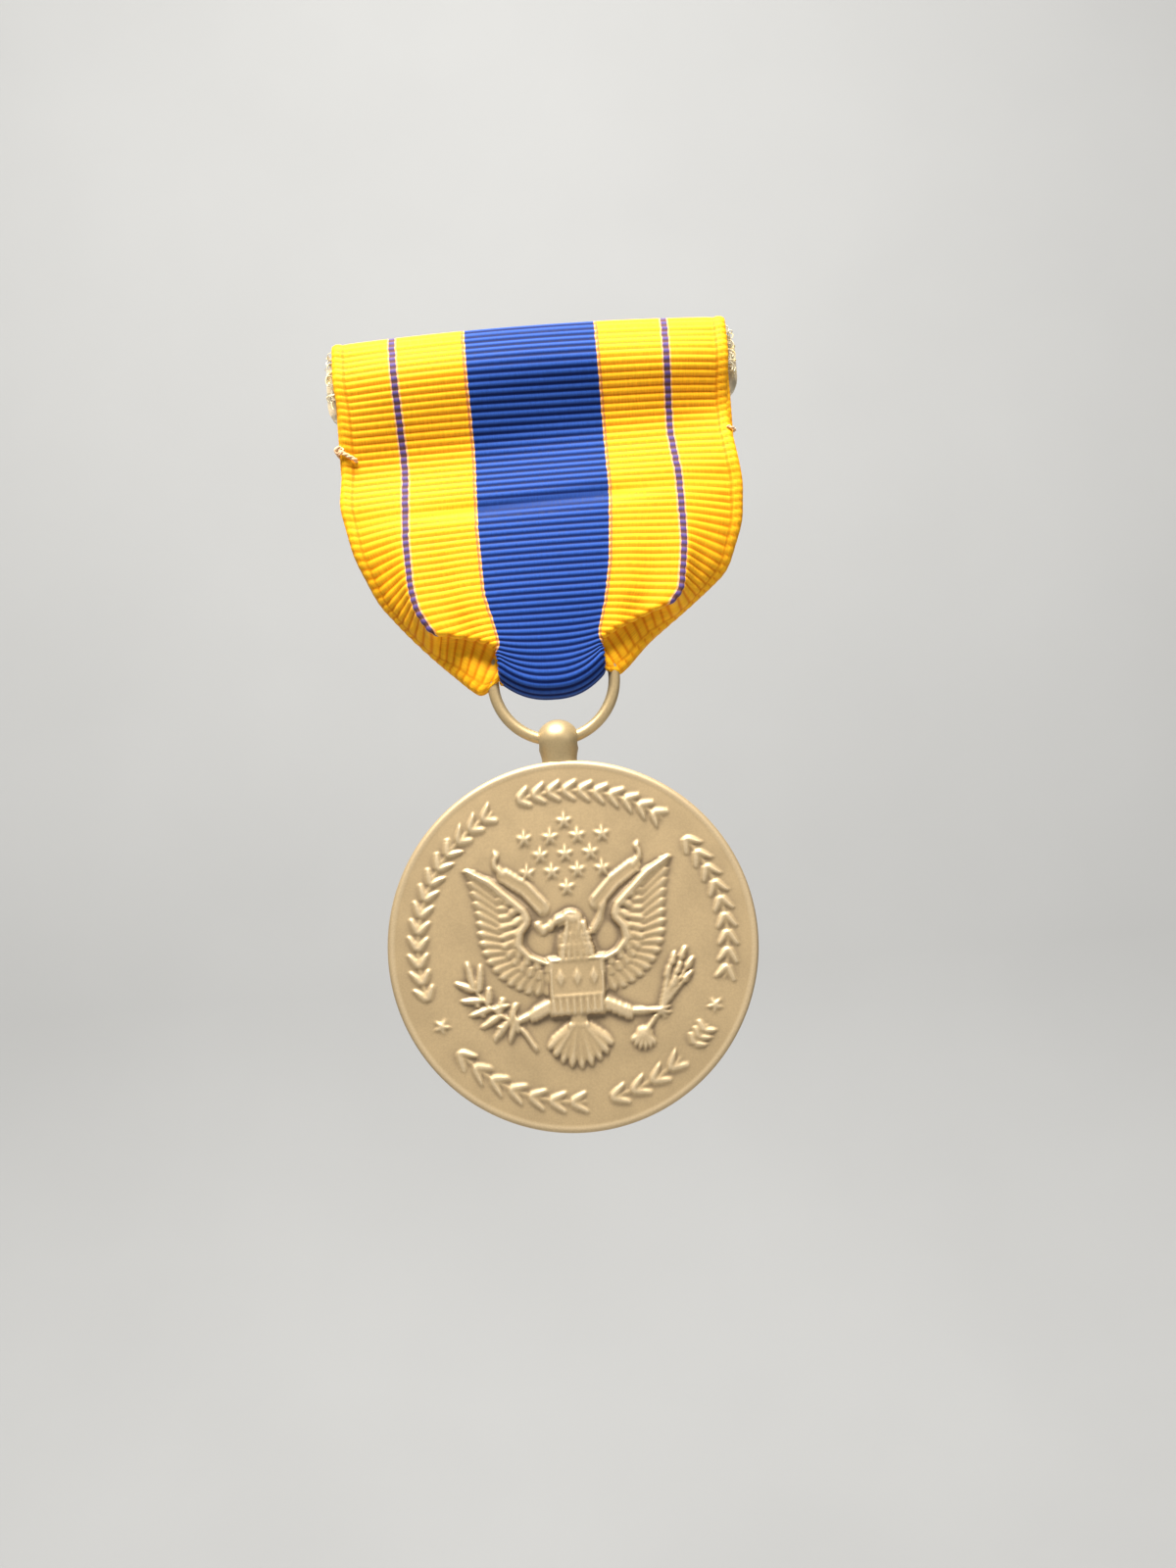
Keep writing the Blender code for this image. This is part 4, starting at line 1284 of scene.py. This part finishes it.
def reverse_heights():
    """A plain tablet inside a laurel wreath."""
    x, y = disc_grid(REVERSE_CELLS)
    relief = Relief(x, y)
    half_x = 5.5 / DISC_RADIUS
    half_z = 1.8 / DISC_RADIUS
    for side in (-1, 1):
        for step in range(15):
            angle = math.radians(-82 + step * 10.6)
            centre = np.array([math.cos(angle) * side, math.sin(angle)])
            ahead = np.array([-math.sin(angle) * side, math.cos(angle)])
            root = centre * 0.70
            relief.blade(root, root + ahead * 0.15 + centre * 0.09, 0.036, 0.16, 0.05, 0.3, 0.6)
            relief.blade(root, root + ahead * 0.15 - centre * 0.09, 0.036, 0.16, 0.05, 0.3, 0.6)
            relief.ridge([root, root + ahead * 0.13], 0.014, 0.14)
    relief.ridge([(-0.09, -0.74), (0.09, -0.66)], 0.022, 0.22)
    relief.ridge([(-0.09, -0.66), (0.09, -0.74)], 0.022, 0.24)
    corners = [(-half_x, -half_z), (half_x, -half_z), (half_x, half_z), (-half_x, half_z)]
    height = smoothed(relief.height, 1)
    tablet = Relief(x, y)
    tablet.plate(corners, REVERSE_DEPTH, 0.010)
    return x, y, np.maximum(height, tablet.height)


def medallion(metal):
    """The struck disc: both faces, a rounded rim and values for patina with painted shade in the
    hollows and for wear on the heights.
    """
    points, faces, wear_patina_and_shade, rims = [], [], [], []
    for front in (True, False):
        count = OBVERSE_CELLS if front else REVERSE_CELLS
        x, y, height = obverse_heights() if front else reverse_heights()
        radius = np.hypot(x, y)
        depth = field_profile(radius, front) - height
        scale = 2 if front else 1
        # Below its surroundings the relief is painted dark as patina and shade; above them and on the
        # rim it is rubbed bright
        cavity = height - smoothed(height, 7 * scale) + 0.5 * (height - smoothed(height, 40 * scale))
        rim_worn = 0.07 * ease(1 - 0.5 / DISC_RADIUS, 1 - 0.1 / DISC_RADIUS, radius)
        wear_patina_and_shade.append((cavity + rim_worn).ravel())
        shrink = DISC_RADIUS - RIM_ROUND
        across = x * shrink * (1 if front else -1)
        level = DISC_LOW[1] + depth if front else DISC_HIGH[1] - depth
        grid = np.stack([DISC_CENTRE[0] + across, level, DISC_CENTRE[2] + y * shrink], axis=2)
        start = len(points)
        points += list(grid.reshape(-1, 3))
        faces += grid_faces(count + 1, count + 1, start)
        rims.append([start + index for index in square_rim(count)])

    def round_off(rim, level, inward):
        """Rows that turn from a face over to the disc's edge."""
        out = (np.array([points[index] for index in rim]) - DISC_CENTRE) * (1, 0, 1)
        out /= np.linalg.norm(out, axis=1)[:, None]
        for step in range(1, RIM_STEPS + 1):
            angle = math.pi / 2 * step / RIM_STEPS
            row = DISC_CENTRE + out * (DISC_RADIUS - RIM_ROUND + RIM_ROUND * math.sin(angle))
            row[:, 1] = level + inward * RIM_ROUND * (1 - math.cos(angle))
            start = len(points)
            points.extend(row)
            wear_patina_and_shade.append(np.full(len(rim), 0.05))
            for index in range(len(rim)):
                other = (index + 1) % len(rim)
                faces.append((rim[index], rim[other], start + other, start + index))
            rim = range(start, len(points))
        return rim

    front_edge = round_off(rims[0], DISC_LOW[1], 1)
    back_edge = round_off(rims[1], DISC_HIGH[1], -1)
    # The coarser back rim starts one side of its square further on and runs the other way
    for index in range(len(back_edge)):
        a, b, c = (front_edge[(2 * index + step) % len(front_edge)] for step in range(3))
        d, e = (back_edge[REVERSE_CELLS - index - step] for step in range(2))
        faces += [(a, b, d), (b, c, e, d)]
    made = mesh_object("medallion_disc", points, faces, metal)
    fixed = bmesh.new()
    fixed.from_mesh(made.data)
    bmesh.ops.recalc_face_normals(fixed, faces=fixed.faces)
    fixed.to_mesh(made.data)
    fixed.free()
    add_value(made, "wear_patina_and_shade", np.concatenate(wear_patina_and_shade))
    return made


# ---------------------------------------------------------------- stage and camera

# The photo's view: degrees of tilt and roll, and the ring's centre in camera axes
VIEW_TILT = 4.2
VIEW_ROLL = 4.3
RING_IN_VIEW = (-3.0, 9.1, -138.2)
LENS = 36.4
SENSOR = 36.0


def photo_camera():
    """The photo's camera, placed by where the ring stands in its view."""
    data = bpy.data.cameras.new("camera")
    data.sensor_fit = "VERTICAL"
    data.sensor_height = SENSOR
    data.lens = LENS
    data.clip_start = 0.01
    data.clip_end = 10
    camera = bpy.data.objects.new("camera", data)
    tilt = Matrix.Rotation(math.radians(90 + VIEW_TILT), 3, "X")
    turn = tilt @ Matrix.Rotation(math.radians(-VIEW_ROLL), 3, "Z")
    camera.rotation_euler = turn.to_euler()
    camera.location = (Vector(RING_CENTRE) - turn @ Vector(RING_IN_VIEW)) * MM
    bpy.context.scene.collection.objects.link(camera)
    bpy.context.scene.camera = camera


def pale_paint():
    """Matt grey paint, very slightly cloudy."""
    paint = Finish("pale_backdrop")
    cloud = paint.noise(paint.place(), 0.01, 3.0)
    paint.surface(
        Base_Color=paint.mix(cloud, (0.33, 0.33, 0.325), (0.36, 0.36, 0.355)),
        Roughness=0.9,
        Specular_IOR_Level=0.1,
    )
    return paint.material


def backdrop():
    """A pale floor that curves up into a wall well behind the medal."""
    floor_z, wall_y, bend, half = -300.0, 620.0, 220.0, 1500.0
    profile = [(-1200.0, floor_z), (wall_y - bend, floor_z)]
    for step in range(1, 17):
        angle = math.pi / 2 * step / 16
        rise = bend * (1 - math.cos(angle))
        profile.append((wall_y - bend + bend * math.sin(angle), floor_z + rise))
    profile.append((wall_y, 1400.0))
    points = []
    for y, z in profile:
        points += [(-half, y, z), (half, y, z)]
    made = mesh_object("backdrop", points, grid_faces(len(profile), 2), pale_paint())


def area_light(name, place, target, size, power, colour):
    """A rectangular lamp that faces its target; places and sizes in metres."""
    data = bpy.data.lights.new(name, "AREA")
    data.shape = "RECTANGLE"
    data.size, data.size_y = size
    data.energy = power
    data.color = colour
    lamp = bpy.data.objects.new(name, data)
    lamp.location = place
    lamp.rotation_euler = (Vector(target) - Vector(place)).to_track_quat("-Z", "Y").to_euler()
    bpy.context.scene.collection.objects.link(lamp)


def studio_light():
    """A window high in front, with a weak fill, an overhead lamp and a dim room."""
    world = bpy.data.worlds.new("studio")
    world.use_nodes = True
    background = world.node_tree.nodes["Background"]
    background.inputs["Color"].default_value = (0.93, 0.95, 1.0, 1)
    background.inputs["Strength"].default_value = 0.15
    bpy.context.scene.world = world
    target = (0.0, 0.0, -0.03)
    area_light("window", (-0.10, -0.34, 0.66), target, (0.50, 0.34), 25.5, (1.0, 0.985, 0.96))
    area_light("fill", (0.50, -0.45, 0.05), target, (0.5, 0.6), 0.7, (0.95, 0.97, 1.0))
    area_light("overhead", (0.05, 0.25, 0.70), target, (0.5, 0.4), 3.0, (1.0, 0.99, 0.97))


# ---------------------------------------------------------------- everything


def finish_hardware():
    """Give each brass and steel part of the brooch its metal."""
    brass = sheet_metal("brooch_brass_finish", (0.70, 0.60, 0.42), (0.48, 0.37, 0.22), 0.34)
    nickel = sheet_metal("pin_nickel_finish", (0.62, 0.60, 0.56), (0.40, 0.36, 0.30), 0.22)
    for node, metal in (
        ("brooch_plate", brass),
        ("pin_hinge_bracket", brass),
        ("pin_hinge_rivet", brass),
        ("catch_housing", brass),
        ("catch_lock", brass),
        ("pin_stem", nickel),
    ):
        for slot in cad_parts[node].material_slots:
            slot.material = metal


# Dark, middle and bright colours; the medallion's dark one is patina with painted shade in its hollows
RING_BRONZE = ((0.30, 0.21, 0.11), (0.50, 0.37, 0.19), (0.6, 0.48, 0.3))
MEDAL_BRONZE = ((0.20, 0.140, 0.078), (0.44, 0.318, 0.168), (0.54, 0.41, 0.24))


def build():
    """Make every piece in place of its CAD part, attach it to its body, and set the stage."""
    silk = ribbon_silk()
    thread = sewing_thread()
    ring_metal = bronze("ring_bronze_finish", *RING_BRONZE, 0.40, worn_relief=False)
    disc_metal = bronze("medal_bronze_finish", *MEDAL_BRONZE, 0.49, worn_relief=True)

    cloth, length = ribbon(silk)
    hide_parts("ribbon_brooch_wrap", "ribbon_turned_end", "ribbon_drape")
    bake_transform(cloth)
    frayed_edges(loose_fibre())
    sewn = edge_tacks(thread) + seam_stitches(thread)
    for piece in sewn:
        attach(piece, "drape")

    for make, metal, node, slot, body in (
        (suspension_ring, ring_metal, "suspension_ring", "ring_bronze", "ring"),
        (suspension_ball, ring_metal, "suspension_ball", "ring_bronze", "pendant"),
        (medallion, disc_metal, "medallion", "medal_bronze", "pendant"),
    ):
        piece = make(metal)
        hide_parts(node)
        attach(piece, body)
    finish_hardware()
    backdrop()
    studio_light()
    photo_camera()
    bpy.context.scene.view_settings.view_transform = "Standard"


build()
